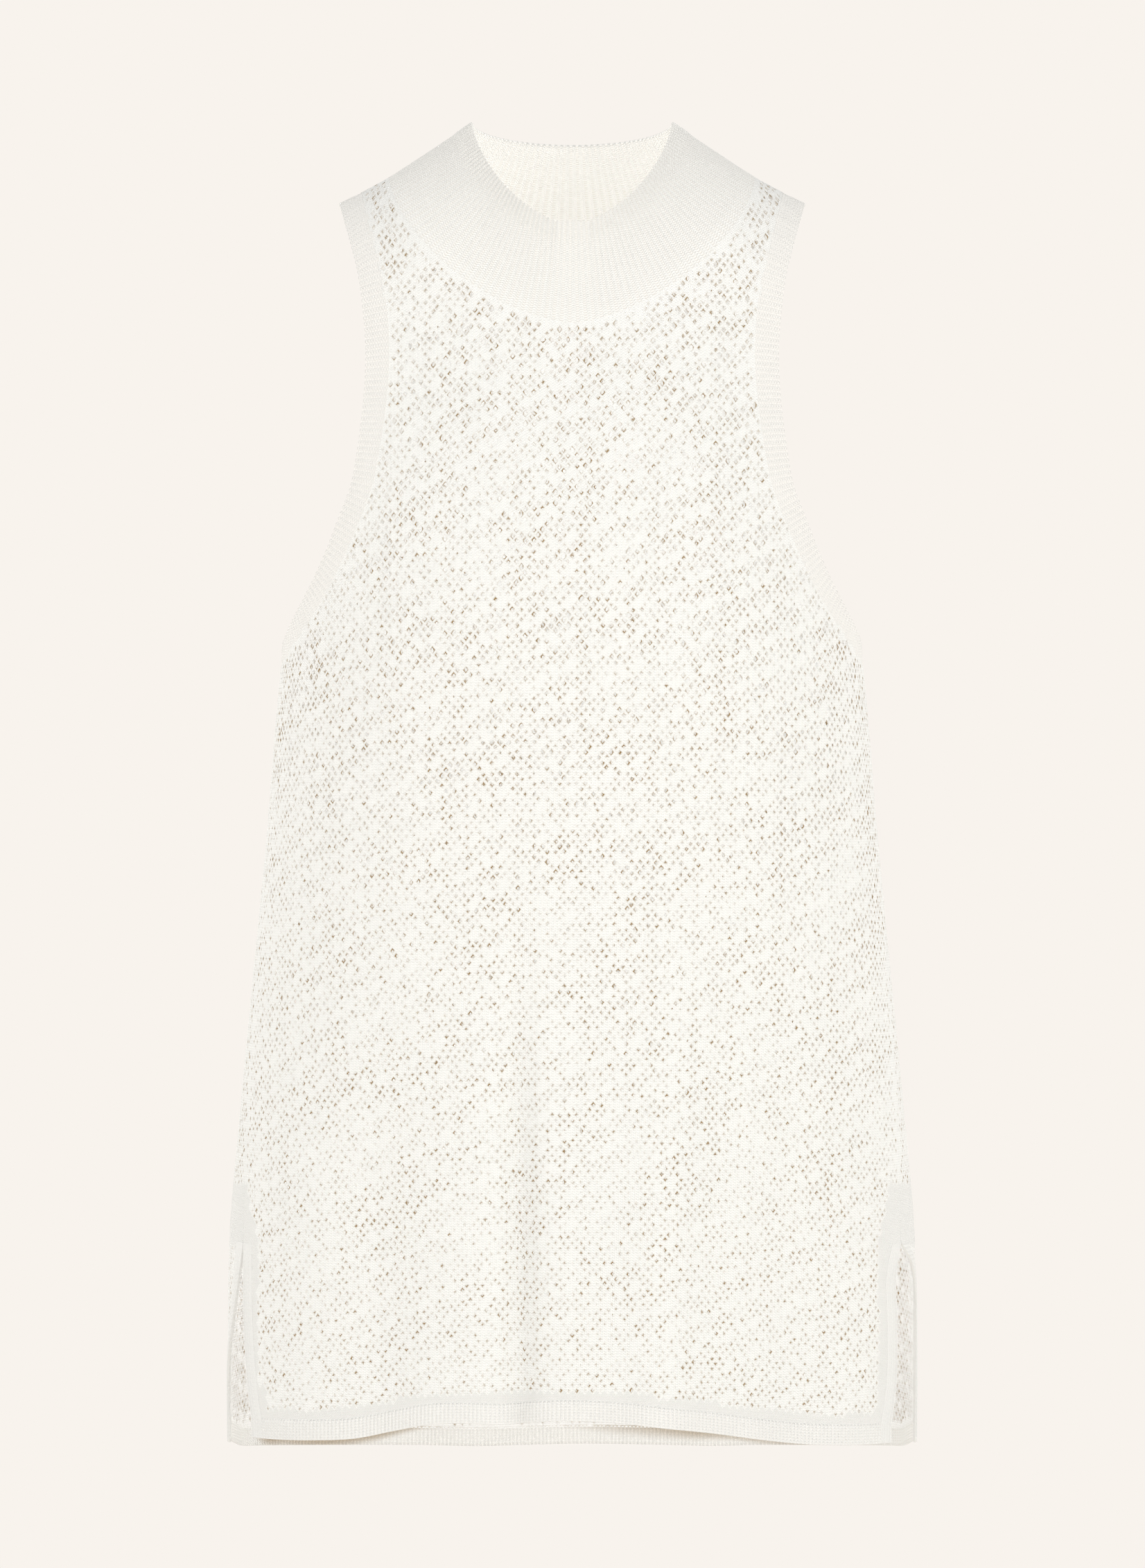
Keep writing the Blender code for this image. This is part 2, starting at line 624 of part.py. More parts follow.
def main():
    for old in list(bpy.data.objects):
        bpy.data.objects.remove(old, do_unlink=True)
    front_edge, back_edge = armhole_edge()
    front_seam = armhole_seam(front_edge, True)
    back_seam = armhole_seam(backwards(back_edge), False)
    seam = side_seam()

    front_neck = spaced(*neck_curve(NECK_FRONT_DROP, True, FRONT_CURVE_POWER), 2 * COLLAR_FRONT_RIBS)
    back_neck = spaced(*neck_curve(NECK_BACK_DROP, False, SECTION_POWER), 2 * COLLAR_BACK_RIBS)
    chord = slice(None, None, COLUMNS_PER_CHORD)

    for is_front in (True, False):
        place = "front" if is_front else "back"
        hem = front_hem if is_front else back_hem
        lines = {side: slit_lines(is_front, side, hem) for side in (1, -1)}
        ribs = FRONT_HEM_RIBS if is_front else BACK_HEM_RIBS
        inner = {side: (lines[side][-1][0][1:], lines[side][-1][1][1:]) for side in (1, -1)}
        top_line = hem_curve(is_front, inner[-1][0][0], inner[1][0][0], hem, HEM_BAND, 2 * ribs)
        low_line = hem_curve(is_front, inner[-1][0][0], inner[1][0][0], hem, 0.0, 2 * ribs)
        hem_band(f"{place}_hem_band", low_line, top_line)

        neck = front_neck if is_front else back_neck
        arm = front_seam if is_front else back_seam
        top = neck[0][chord], neck[1][chord]
        sides = {}
        for side in (1, -1):
            slit = inner[side]
            rise = (np.append(slit[0], seam[0][0] * side), np.append(slit[1], seam[1][0]))
            up = joined(rise, (seam[0] * side, seam[1]))
            down = backwards(arm)
            sides[side] = joined(up, (down[0] * side, down[1]))
        base_line = top_line[0][chord], top_line[1][chord]
        right = sides[1]
        left = backwards(sides[-1])
        outline = (
            np.concatenate([base_line[0][1:-1], right[0], top[0], left[0]]),
            np.concatenate([base_line[1][1:-1], right[1], top[1], left[1]]),
        )
        panel(f"{place}_panel", outline, is_front)
        for side, word in ((1, "right"), (-1, "left")):
            slit_band(f"{place}_{word}_slit_band", is_front, lines[side], hem)

    collar()
    armhole_band("right_armhole_band", 1, (front_edge, back_edge), (front_seam, back_seam))
    armhole_band("left_armhole_band", -1, (front_edge, back_edge), (front_seam, back_seam))


main()
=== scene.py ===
"""The looks of a long sleeveless knit top with a funnel collar: an openwork net, ribbed bands, and their yarn.

Metres: +Z up, +X to the viewer's right, the front at -Y, the origin midway between the shoulder tips. A place on the
garment's form is theta, the angle round the body from the centre front (0) to the centre back (180 degrees), negative
on the left, and h, the height along the cloth: the plain height z where the cloth hangs, and more where it rolls over
the shoulder. The form has the part's own sizes and formulas, so that each piece lies where its solid does.
"""

import math
from types import SimpleNamespace

import bpy
import numpy as np
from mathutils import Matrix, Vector


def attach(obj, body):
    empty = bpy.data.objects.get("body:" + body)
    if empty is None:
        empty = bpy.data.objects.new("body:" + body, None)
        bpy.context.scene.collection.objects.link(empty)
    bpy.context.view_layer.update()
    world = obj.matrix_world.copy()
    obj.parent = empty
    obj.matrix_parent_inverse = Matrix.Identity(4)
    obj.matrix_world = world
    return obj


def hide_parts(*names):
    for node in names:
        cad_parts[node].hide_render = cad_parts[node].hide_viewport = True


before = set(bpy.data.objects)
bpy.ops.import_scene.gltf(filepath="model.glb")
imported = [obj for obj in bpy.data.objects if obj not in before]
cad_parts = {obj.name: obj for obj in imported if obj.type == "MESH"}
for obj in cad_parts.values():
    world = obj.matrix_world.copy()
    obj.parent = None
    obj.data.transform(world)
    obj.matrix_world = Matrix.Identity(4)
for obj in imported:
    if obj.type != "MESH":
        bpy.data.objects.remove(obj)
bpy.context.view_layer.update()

# Driving sizes, in metres
SECTION_POWER = 2.2  # 2 is an ellipse, and more is boxier
SHOULDER_HALF = 0.137
SHOULDER_TIP_Z = -0.002  # of the inner face
SHOULDER_SLOPE = 0.533
SHOULDER_ROLL = 0.075  # how far down the cloth takes to turn from level to upright
ARMHOLE_DROP = 0.261
ARMHOLE_BACK_INSET = 0.004
ARMHOLE_BAND = 0.0145
NECK_HALF = 0.107
NECK_FRONT_DROP = 0.092
NECK_BACK_DROP = 0.026
RIM_HALF = 0.0585
RIM_SIDE_Z = 0.0465
RIM_FRONT_DEPTH = 0.064
RIM_FRONT_DROP = 0.066  # that of its curve, which is cut level at the next one
RIM_LEVEL_DROP = 0.0636
RIM_BACK_DEPTH = 0.065
RIM_BACK_DROP = 0.005
FRONT_CURVE_POWER = 1.6  # the collar's front curves, between a V (1) and an ellipse (2)
COLLAR_HOLLOW = 0.0025
SLIT_TOP = -0.611
SLIT_BAND = 0.01
HEM_BAND = 0.0102
HEM_CORNER = 0.003
BACK_HEM_MID = -0.7476
BACK_HEM_SIDE_RISE = 0.0139
BACK_HEM_HALF = 0.204
BACK_CORNER_X = 0.1925  # where the back hem starts to rise into its rounded corners
BACK_CORNER_WIDTH = 0.009
BACK_CORNER_RISE = 0.005

# The form: height, half width, depth of the front, depth of the back
FORM = np.array([
    (0.05, 0.164, 0.079, 0.083), (0.0, 0.162, 0.081, 0.088), (-0.05, 0.1585, 0.084, 0.096),
    (-0.1, 0.1575, 0.093, 0.103), (-0.15, 0.159, 0.106, 0.106), (-0.2, 0.1635, 0.115, 0.106),
    (-0.261, 0.1692, 0.119, 0.102), (-0.31, 0.1738, 0.118, 0.098), (-0.37, 0.1786, 0.115, 0.095),
    (-0.45, 0.1863, 0.113, 0.096), (-0.53, 0.194, 0.114, 0.101), (-0.61, 0.2008, 0.117, 0.108),
    (-0.68, 0.2018, 0.12, 0.113), (-0.75, 0.2014, 0.122, 0.117),
])[::-1]

# The armhole's edge seen from the front: height, half width
ARMHOLE = np.array([
    (0.0, 0.137), (-0.027, 0.1288), (-0.048, 0.1234), (-0.069, 0.1205), (-0.0895, 0.1189), (-0.12, 0.1197),
    (-0.15, 0.1232), (-0.17, 0.1267), (-0.19, 0.1343), (-0.21, 0.1422), (-0.23, 0.152), (-0.2493, 0.163),
    (-0.261, 0.1692),
])[::-1]

# The front hem: x, height
FRONT_HEM = np.array([
    (-0.19, -0.7231), (-0.15, -0.7208), (-0.123, -0.7184), (-0.1, -0.7131), (-0.08, -0.7087), (-0.062, -0.7077),
    (-0.036, -0.7083), (-0.008, -0.7055), (0.03, -0.7073), (0.078, -0.7134), (0.128, -0.7218), (0.19, -0.7262),
])

# The slits' edges: drop below the slit's top, then theta in degrees of the front edge on the right and on the left,
# and of the back edge on the right and on the left
SLIT_EDGES = np.array([
    (0.0, 70.6, 70.6, 70.9, 70.9),
    (0.015, 67.6, 70.2, 80.0, 72.2),
    (0.045, 67.6, 69.5, 86.5, 77.0),
    (0.085, 66.8, 67.1, 87.5, 86.5),
    (0.105, 64.6, 65.1, 87.0, 87.0),
    (0.125, 63.0, 63.2, 86.5, 86.5),
])

# Soft folds, each fading in downwards: centre x, half width, height of its top, length of the fade, how far it
# stands out (negative is a trough)
FRONT_FOLDS = (
    (-0.03, 0.011, -0.4, 0.16, -0.007), (0.051, 0.018, -0.42, 0.16, 0.006), (0.0, 0.024, -0.48, 0.16, 0.004),
    (-0.112, 0.026, -0.43, 0.2, -0.006), (0.128, 0.028, -0.44, 0.2, -0.006),
)
BACK_FOLDS = (
    (-0.06, 0.024, -0.4, 0.2, -0.007), (0.01, 0.03, -0.42, 0.2, 0.006), (0.085, 0.022, -0.38, 0.22, -0.006),
)

ROLL_EXTRA = (math.pi / 2 - 1) * SHOULDER_ROLL


def smooth(table, column, at):
    """A cubic curve through one column of a table, read against its first column, level past its ends."""
    xs = table[:, 0]
    ys = table[:, column]
    at = np.clip(np.asarray(at, float), xs[0], xs[-1])
    slopes = np.gradient(ys, xs)
    i = np.clip(np.searchsorted(xs, at) - 1, 0, len(xs) - 2)
    step = xs[i + 1] - xs[i]
    t = (at - xs[i]) / step
    rise = ys[i + 1] - ys[i]
    a = slopes[i] * step - rise
    b = rise - slopes[i + 1] * step
    return ys[i] + t * rise + t * (1 - t) * ((1 - t) * a + t * b)


def unit(vectors):
    return vectors / np.linalg.norm(vectors, axis=-1, keepdims=True)


def fade(value):
    """From 0 to 1, with level ends."""
    value = np.clip(value, 0, 1)
    return value * value * (3 - 2 * value)


def shoulder_line(x):
    return SHOULDER_TIP_Z + (SHOULDER_HALF - np.abs(x)) * SHOULDER_SLOPE


def fold_height(folds, x, z):
    return sum(
        out * np.exp(-(((x - middle) / half) ** 2)) * fade((top - z) / length)
        for middle, half, top, length, out in folds
    )


def skin(theta, h):
    """The inner face of the cloth at each theta and h."""
    theta, h = np.broadcast_arrays(np.asarray(theta, float), np.asarray(h, float))
    power = 2 / SECTION_POWER
    across = np.abs(np.sin(theta)) ** power * np.sign(np.sin(theta))
    along = np.abs(np.cos(theta)) ** power
    z = h.copy()
    for _ in range(6):
        half = smooth(FORM, 1, z)
        x = half * across
        down = np.maximum(shoulder_line(x) + ROLL_EXTRA - h, 0)
        rolled = np.minimum(down / SHOULDER_ROLL, math.pi / 2)
        drop = SHOULDER_ROLL * (1 - np.cos(rolled)) + np.maximum(down - SHOULDER_ROLL * math.pi / 2, 0)
        z = shoulder_line(x) - drop
    front = np.cos(theta) > 0
    depth = np.where(front, smooth(FORM, 2, z), smooth(FORM, 3, z))
    y = np.where(front, -1, 1) * depth * along * np.sin(rolled)
    out_x, out_y = x / half**2, y / depth**2
    size = np.maximum(np.hypot(out_x, out_y), 1e-9)
    fold = np.where(front, fold_height(FRONT_FOLDS, x, z), fold_height(BACK_FOLDS, x, z)) * along
    return np.stack([x + fold * out_x / size, y + fold * out_y / size, z], axis=-1)


def normals(theta, h):
    """Unit vectors out of the cloth."""
    step_theta, step_h = 1e-3, 2e-4
    across = skin(theta + step_theta, h) - skin(theta - step_theta, h)
    up = skin(theta, h + step_h) - skin(theta, h - step_h)
    return unit(np.cross(across, up))


def theta_of(x, z, front=True):
    """The angle round the body at which the form is x to the side."""
    share = np.clip(np.abs(x) / smooth(FORM, 1, z), 0, 1)
    angle = np.arcsin(share ** (SECTION_POWER / 2))
    return np.where(front, angle, math.pi - angle) * np.where(np.asarray(x) < 0, -1, 1)


def h_of(x, z):
    """The height along the cloth at a plain height."""
    drop = np.maximum(shoulder_line(x) - z, 0)
    rolled = SHOULDER_ROLL * np.arccos(1 - np.minimum(drop / SHOULDER_ROLL, 1))
    down = np.where(drop < SHOULDER_ROLL, rolled, drop + ROLL_EXTRA)
    return shoulder_line(x) + ROLL_EXTRA - down


def spread(points, count, *values):
    """Values along a line of close points, at count + 1 places evenly far apart on it."""
    run = np.concatenate([[0], np.cumsum(np.linalg.norm(np.diff(points, axis=0), axis=1))])
    at = np.linspace(0, run[-1], count + 1)
    return [np.interp(at, run, value) for value in values]


def spaced(theta, h, count):
    """count + 1 places, evenly far apart on the form, along a curve given by close places."""
    return spread(skin(theta, h), count, theta, h)


def moved(theta, h, direction, distance):
    """Places that lie the distance away along the cloth."""
    target = skin(theta, h) + direction * distance
    theta, h = theta.copy(), h.copy()
    for _ in range(4):
        here = skin(theta, h)
        by_theta = (skin(theta + 1e-4, h) - here) / 1e-4
        by_h = (skin(theta, h - 1e-4) - here) / -1e-4
        miss = target - here
        aa, bb, ab = (by_theta**2).sum(-1), (by_h**2).sum(-1), (by_theta * by_h).sum(-1)
        am, bm = (by_theta * miss).sum(-1), (by_h * miss).sum(-1)
        scale = np.maximum(aa * bb - ab * ab, 1e-12)
        theta += (am * bb - bm * ab) / scale
        h += (bm * aa - am * ab) / scale
    return theta, h


def joined(first, *others):
    """Curves run one after another, each next one without its first place."""
    curves = first, *((theta[1:], h[1:]) for theta, h in others)
    return tuple(np.concatenate(parts) for parts in zip(*curves))


def ring(*curves):
    """Curves run one after another, each without its last place, which is the next one's first."""
    return tuple(np.concatenate([part[:-1] for part in parts]) for parts in zip(*curves))


def backwards(curve):
    return curve[0][::-1], curve[1][::-1]


# Edges that pieces share. Each is given for the right side, from the bottom up or from the shoulder down.


def armhole_edge():
    """The free edge of the right armhole, from the shoulder down the front and up the back."""
    turn = np.linspace(0, math.pi, 241)
    z = SHOULDER_TIP_Z - (ARMHOLE_DROP + SHOULDER_TIP_Z) * (1 - np.cos(turn)) / 2
    x = smooth(ARMHOLE, 1, z)
    x[0] = SHOULDER_HALF
    columns = 2 * ARMHOLE_RIBS
    front = spaced(theta_of(x, z), h_of(x, z), columns)
    x_back = x - ARMHOLE_BACK_INSET * np.sin(turn)
    back = spaced(theta_of(x_back, z, False), h_of(x_back, z), columns)
    return front, backwards(back)


def armhole_seam(half, is_front):
    """Where a panel meets the armhole's band: the places of one half's chords, from the shoulder down."""
    theta, h = half
    points = skin(theta, h)
    along = np.gradient(points, axis=0)
    along[-1] = (0, 1 if is_front else -1, 0)
    along[0] = (0, -1 if is_front else 1, 0)
    inward = np.cross(normals(theta, h), unit(along))
    if inward[len(inward) // 2, 0] > 0:
        inward = -inward
    nodes = slice(None, None, COLUMNS_PER_CHORD)
    seam_theta, seam_h = moved(theta[nodes], h[nodes], inward[nodes], ARMHOLE_BAND)
    # the ends lie on the shoulder's ridge and on the side
    x = SHOULDER_HALF - ARMHOLE_BAND / math.hypot(1, SHOULDER_SLOPE)
    seam_theta[0] = theta_of(x, shoulder_line(x), is_front)
    seam_h[0] = h_of(x, shoulder_line(x))
    seam_theta[-1] = math.pi / 2
    seam_h[-1] = -ARMHOLE_DROP - ARMHOLE_BAND
    return seam_theta, seam_h


def neck_curve(is_front):
    """The neckline from the right shoulder round to the left one."""
    drop, power = (NECK_FRONT_DROP, FRONT_CURVE_POWER) if is_front else (NECK_BACK_DROP, SECTION_POWER)
    turn = np.linspace(0, math.pi / 2, 161)
    x = NECK_HALF * np.cos(turn) ** (2 / power)
    z = shoulder_line(NECK_HALF) - drop * np.sin(turn) ** (2 / power)
    theta, h = theta_of(x, z, is_front), h_of(x, z)
    return joined((theta, h), ((0 if is_front else 2 * math.pi) - theta[::-1], h[::-1]))


def front_hem(x):
    return smooth(FRONT_HEM, 1, x)


def back_hem(x):
    share = np.clip(np.abs(x) / BACK_HEM_HALF, 0, 1)
    corner = np.clip((np.abs(x) - BACK_CORNER_X) / BACK_CORNER_WIDTH, 0, 1) ** 3
    level = BACK_HEM_MID + BACK_HEM_SIDE_RISE * (1 - (1 - share**SECTION_POWER) ** (1 / SECTION_POWER))
    return level + BACK_CORNER_RISE * corner


def slit_edge(is_front, side, z):
    """theta of a slit's free edge, as a size without a sign."""
    column = (1 if is_front else 3) + (side < 0)
    return np.radians(smooth(SLIT_EDGES, column, SLIT_TOP - z))


def slit_lines(is_front, side, hem):
    """The lines of a slit's band, from its free edge on, each straight up beside the hem's band, then to its top."""
    inward = -1 if is_front else 1
    bottom = hem(0.0)
    for _ in range(4):
        z = np.linspace(bottom + HEM_BAND, SLIT_TOP, SLIT_ROWS + 1)
        edge = slit_edge(is_front, side, z)
        here = skin(edge, z)
        rate = np.linalg.norm(skin(edge + 0.01 * inward, z) - here, axis=1) / 0.01
        band_end = skin(edge + inward * SLIT_BAND / rate, z)[0]
        bottom = float(hem(side * band_end[0]))
    lines = []
    for share in np.linspace(0, 1, 2 * SLIT_RIBS + 1):
        theta = (edge + inward * share * SLIT_BAND / rate) * side
        lines.append((np.append(theta[0], theta), np.append(bottom, z)))
    return lines


def side_seam():
    """The side seam of the right side, from the slit's top up to the armhole's band."""
    z = np.linspace(SLIT_TOP, -ARMHOLE_DROP - ARMHOLE_BAND, SIDE_ROWS + 1)
    share = (z - SLIT_TOP) / (z[-1] - SLIT_TOP)
    start = math.radians(SLIT_EDGES[0, 1])
    return start + (math.pi / 2 - start) * share, z


# How many ribs each band has, and the points across one rib
COLLAR_FRONT_RIBS, COLLAR_BACK_RIBS, COLLAR_ROWS = 81, 54, 30
ARMHOLE_RIBS = 96  # on the front half, and again on the back half
FRONT_HEM_RIBS, BACK_HEM_RIBS = 168, 220
SLIT_RIBS = 4
SLIT_ROWS = 9
SIDE_ROWS = 14
RIB_POINTS = 6
COLUMNS_PER_CHORD = 8

# The net, in columns of holes and half rows, every other one half a column over. Height, width of a column, height of
# a half row, how much lower the rows are at the sides, size of the holes
NET = np.array([
    (0.07, 0.00489, 0.00311, 0.004, 1.33),
    (-0.1, 0.00489, 0.00308, 0.008, 1.31),
    (-0.25, 0.00489, 0.00302, 0.01, 1.19),
    (-0.45, 0.00475, 0.00296, 0.015, 0.87),
    (-0.6, 0.00458, 0.00289, 0.02, 0.69),
    (-0.76, 0.00445, 0.00282, 0.024, 0.66),
])[::-1]
NET_COLUMNS = 8  # in one repeat
NET_COURSES = 6
NET_MIDDLE = 3.45  # the wale at the centre front
NET_LEVEL = -0.2526  # the height of course 0
# One repeat, a row for each course from the top down: the hole's size, and 0 where the net is filled
CHART = np.array([
    (1.25, 1.0, 1.0, 1.0, 0.65, 1.0, 0.0, 0.8),
    (0.9, 0.95, 0.9, 0.0, 1.05, 1.05, 0.9, 0.75),
    (0.5, 0.0, 0.85, 0.0, 0.5, 1.05, 1.0, 0.95),
    (1.0, 0.0, 0.65, 0.9, 1.05, 0.9, 0.9, 1.0),
    (0.0, 0.75, 1.1, 1.25, 0.95, 1.0, 0.95, 1.0),
    (0.65, 1.05, 1.1, 0.95, 0.5, 0.75, 0.5, 0.0),
])
HOLE_HALF_WIDTH = 0.118  # of a column
HOLE_HALF_HEIGHT = 0.3  # of a half row
HOLE_SPREAD = 0.26  # of the sizes, from hole to hole
HOLE_SHADE = 0.22  # how much the painted shade deep in the holes differs from hole to hole
PATCH_SPREAD = 0.05  # and from one patch of the net to another
PATCH_SHADE = 0.07  # how much darker the holes' painted shade is in some patches
PATCH_WAVES = 8
LEAST_SLOPE = 0.45  # how far the half rows open out at most where the shoulder turns level
ABOVE_RIDGE = 0.03  # how far the courses run on over the shoulder's ridge
LARGEST_HOLE = 1.6
NET_MARGIN = 0.0022  # the least distance of a hole's middle from the panel's edge
HOLE_STRETCH = 0.12  # spread of how long the holes are
HOLE_LEAN = 0.28
HOLE_SHIFT = 0.03
# how dark the painted shade deep in the holes is, and its limits
HOLE_DARKNESS, HOLE_DARKNESS_LIMITS = 0.92, (0.3, 1.4)
HOLE_LIT_SIDE = 0.32  # how much lighter the painted shade is on one side of each hole, as if lit from there
YARN_ROUGH = 0.00007
FILLING_DIP = 0.00015  # of the middle of a cell without a hole
# A hole's outline, in its half width and half height
HOLE = np.array([(0.0, 1.0), (0.82, 0.45), (0.92, -0.4), (0.0, -1.0), (-0.92, -0.4), (-0.82, 0.45)])
NET_INNER = 0.0001  # the yarn's inner and outer faces, from the form
NET_OUTER = 0.0016
NET_RIM = 0.0013  # the edges of the holes
NET_PIECES = 2  # the meshes that a panel is shown in
# The triangles of a cell, from its corners (top, right, bottom, left: 0 to 3) to its hole's rim (4 to 9), those of one
# without a hole, to its middle (4), and those of its inside
HOLED_CELL = np.array([
    (0, 4, 1), (4, 5, 1), (1, 5, 6), (1, 6, 2), (6, 7, 2), (2, 7, 3), (7, 8, 3), (3, 8, 9), (3, 9, 0), (9, 4, 0)
])
FILLED_CELL = np.array([(0, 4, 1), (1, 4, 2), (2, 4, 3), (3, 4, 0)])
CELL_INSIDE = np.array([(0, 1, 2), (2, 3, 0)])

# The ribs: how far they stand out, the walls under them, and how many courses their yarn has
COLLAR_RELIEF = 0.00022
COLLAR_RIM_RELIEF = 0.00085
COLLAR_RIM_RIBS = 0.009  # how far down from the rim the ribs are deep
COLLAR_BEAD = 0.0022  # the plain row along the neckline
COLLAR_SETTLE = 0.12  # the share of its height in which the collar turns from the body's slope to its own
COLLAR_WALL = 0.0015
COLLAR_COURSES = 43
COLLAR_RIM_FADE = 0.006
COLLAR_WALE, COLLAR_RIM_WALE = 0.62, 0.5  # how much of a rib is knit wale
COLLAR_BEAD_RELIEF = 0.0002
COLLAR_INNER = -0.0002  # the inner face, from the form
COLLAR_FOLLOW, BAND_FOLLOW = 0.85, 0.8  # how far the inside follows the ribs
BAND_WALE = 0.55
LIP = 0.0004  # how far a band's edges are rounded out
BAND_WALL = 0.0017
BAND_LAP = 0.0012  # over the net
ARMHOLE_RELIEF = 0.0004
ARMHOLE_ROWS = 7
ARMHOLE_COURSES = 9
# The shares of a band's width, and of a slit band's length, over which its ribs fade out
ARMHOLE_FADE, HEM_FADE, SLIT_FADE, SLIT_TOP_FADE = 0.25, 0.15, 0.45, 1 / 6
HEM_RELIEF = 0.0007
FRONT_HEM_ROWS, BACK_HEM_ROWS = 6, 8
# The shade of the front hem inside the back's band: x, the height below which it fades, its strength, its fade's length
HEM_SHADE = np.array([
    (-0.19, -0.7345, 0.0, 0.004), (-0.186, -0.7358, 0.45, 0.006), (-0.1723, -0.7382, 0.6, 0.007),
    (-0.1553, -0.7405, 0.68, 0.0075), (-0.1383, -0.7408, 0.68, 0.0075), (-0.1213, -0.7394, 0.66, 0.006),
    (-0.108, -0.7373, 0.58, 0.005), (-0.0958, -0.7352, 0.48, 0.004), (-0.0534, -0.734, 0.25, 0.003),
    (-0.011, -0.7345, 0.25, 0.004), (0.0316, -0.7355, 0.42, 0.009), (0.053, -0.7368, 0.52, 0.009),
    (0.0741, -0.7381, 0.6, 0.0075), (0.0953, -0.74, 0.5, 0.0045), (0.1166, -0.7425, 0.5, 0.004),
    (0.1378, -0.7436, 0.42, 0.004), (0.159, -0.7432, 0.3, 0.004), (0.18, -0.739, 0.12, 0.003),
    (0.19, -0.7376, 0.0, 0.003),
])
HEM_COURSES = 7
SLIT_RELIEF = 0.0005
FRONT_HEM_PLAIN, BACK_HEM_PLAIN = 0.0045, 0.0008  # of the net, above the hem's band
PLAIN_LOW = 0.02  # how far above a hem's band the edge counts as the hem's
HALF_CELL = 0.0025
PLAIN_TOP = -0.577  # plain knit starts here at the sides, down to the slits and along them
PLAIN_BELOW_SLIT = 0.004  # how far it goes on at the back
NET_HALF_WIDTHS = (0.1815, 0.1765)  # there, at the left and at the right
PLAIN_NARROWING, PLAIN_RUN = 0.007, 0.035  # how much wider the net is at the top of it, and how far down
SLIT_LENGTH_ROWS = 60
SLIT_COURSES = 70

# painted shade in the gaps between the bars of a rib's furrow
PAINTED_GAP_SHADE = (0.6, 0.52, 0.44)
PAINTED_SHADE_COLOUR = (0.265, 0.158, 0.035)  # painted shade, deep in the holes, and the front hem's painted shadow inside the back's band
PATCH_TINT = 0.965  # how dark the yarn gets in patches
STITCH_LEAN = 0.7  # of a stitch, in courses
STITCH_GROOVE = 0.25  # the share of half a stitch that its middle groove takes
# The looks of each yarn, as knit() takes them
# the plain, slit, band and armhole yarns are darker copies of the one yarn: painted shade where these parts take less
# light
YARNS = {
    "openwork": ((0.864, 0.861, 0.834), 1.0, 2.0, 2.0, 0.0, 0.00035, 0.00012, 2.5),
    "inside": ((0.86, 0.855, 0.84), 1.0, 2.0, 2.0, 0.0, 0.0003, 0.00012, 1.5),
    "plain": ((0.8, 0.796, 0.77), 1.0, 3.0, 3.0, 0.0, 0.00025, 0.0001, 1.0),
    "slit": ((0.722, 0.719, 0.697), 1.0, 0.7, 1.5, 0.0, 0.00018, 0.00008, 1.0),
    "rib": ((0.86, 0.85, 0.815), 0.6, 1.0, 1.0, 0.35, 0.00035, 0.00008, 1.0),
    "band": ((0.822, 0.817, 0.792), 0.6, 1.0, 1.0, 0.15, 0.0003, 0.00008, 1.0),
    "armhole": ((0.802, 0.789, 0.758), 0.6, 1.0, 1.0, 0.15, 0.0003, 0.00008, 1.0),
}

# The studio, and the camera of the photographed view
BACKDROP = (0.9387, 0.8963, 0.8469)
FLOOR_Z, FLOOR_REACH = -1.4, 3.9
WORLD_LIGHT = 0.82
LAMP_COLOUR = (1.0, 0.995, 0.985)
# Name, place, size, power
LAMPS = (
    ("left", (-2.3, -2.9, 0.2), 2.6, 40.0),
    ("right", (2.3, -2.9, 0.2), 2.6, 49.0),
    ("left_rim", (-2.6, 1.5, -0.3), 1.6, 22.0),
    ("right_rim", (2.6, 1.5, -0.3), 1.6, 18.0),
)
INSIDE_LIGHT = (0.98, 0.99, 1.0)
INSIDE_LAMP_SIZE = 0.03
# Distance to both sides, height, power
INSIDE_LAMPS = (
    (0.0, -0.01, 0.06), (0.0, -0.15, 0.12), (0.07, -0.29, 0.09), (0.09, -0.43, 0.1), (0.1, -0.57, 0.1),
    (0.12, -0.67, 0.055), (0.0, -0.69, 0.1),
)
LAMP_AIM = (0.0, 0.0, -0.5)
SENSOR = 36.0  # millimetres, along the frame's height
FRAME_HEIGHT = 0.9274
CAMERA_AWAY = 3.3
CAMERA_X = 0.0002
CAMERA_Z = -0.3432

SIDES = ((1, "right"), (-1, "left"))
CUTS = {}  # the width, length and area of each piece's flat cloth


# The net


def bilinear(grid, row, column):
    """Values of a grid between its rows and columns."""
    row = np.clip(row, 0, grid.shape[0] - 1.001)
    column = np.clip(column, 0, grid.shape[1] - 1.001)
    i, j = row.astype(int), column.astype(int)
    a, b = row - i, column - j
    top = grid[i, j] * (1 - b) + grid[i, j + 1] * b
    low = grid[i + 1, j] * (1 - b) + grid[i + 1, j + 1] * b
    return top * (1 - a) + low * a


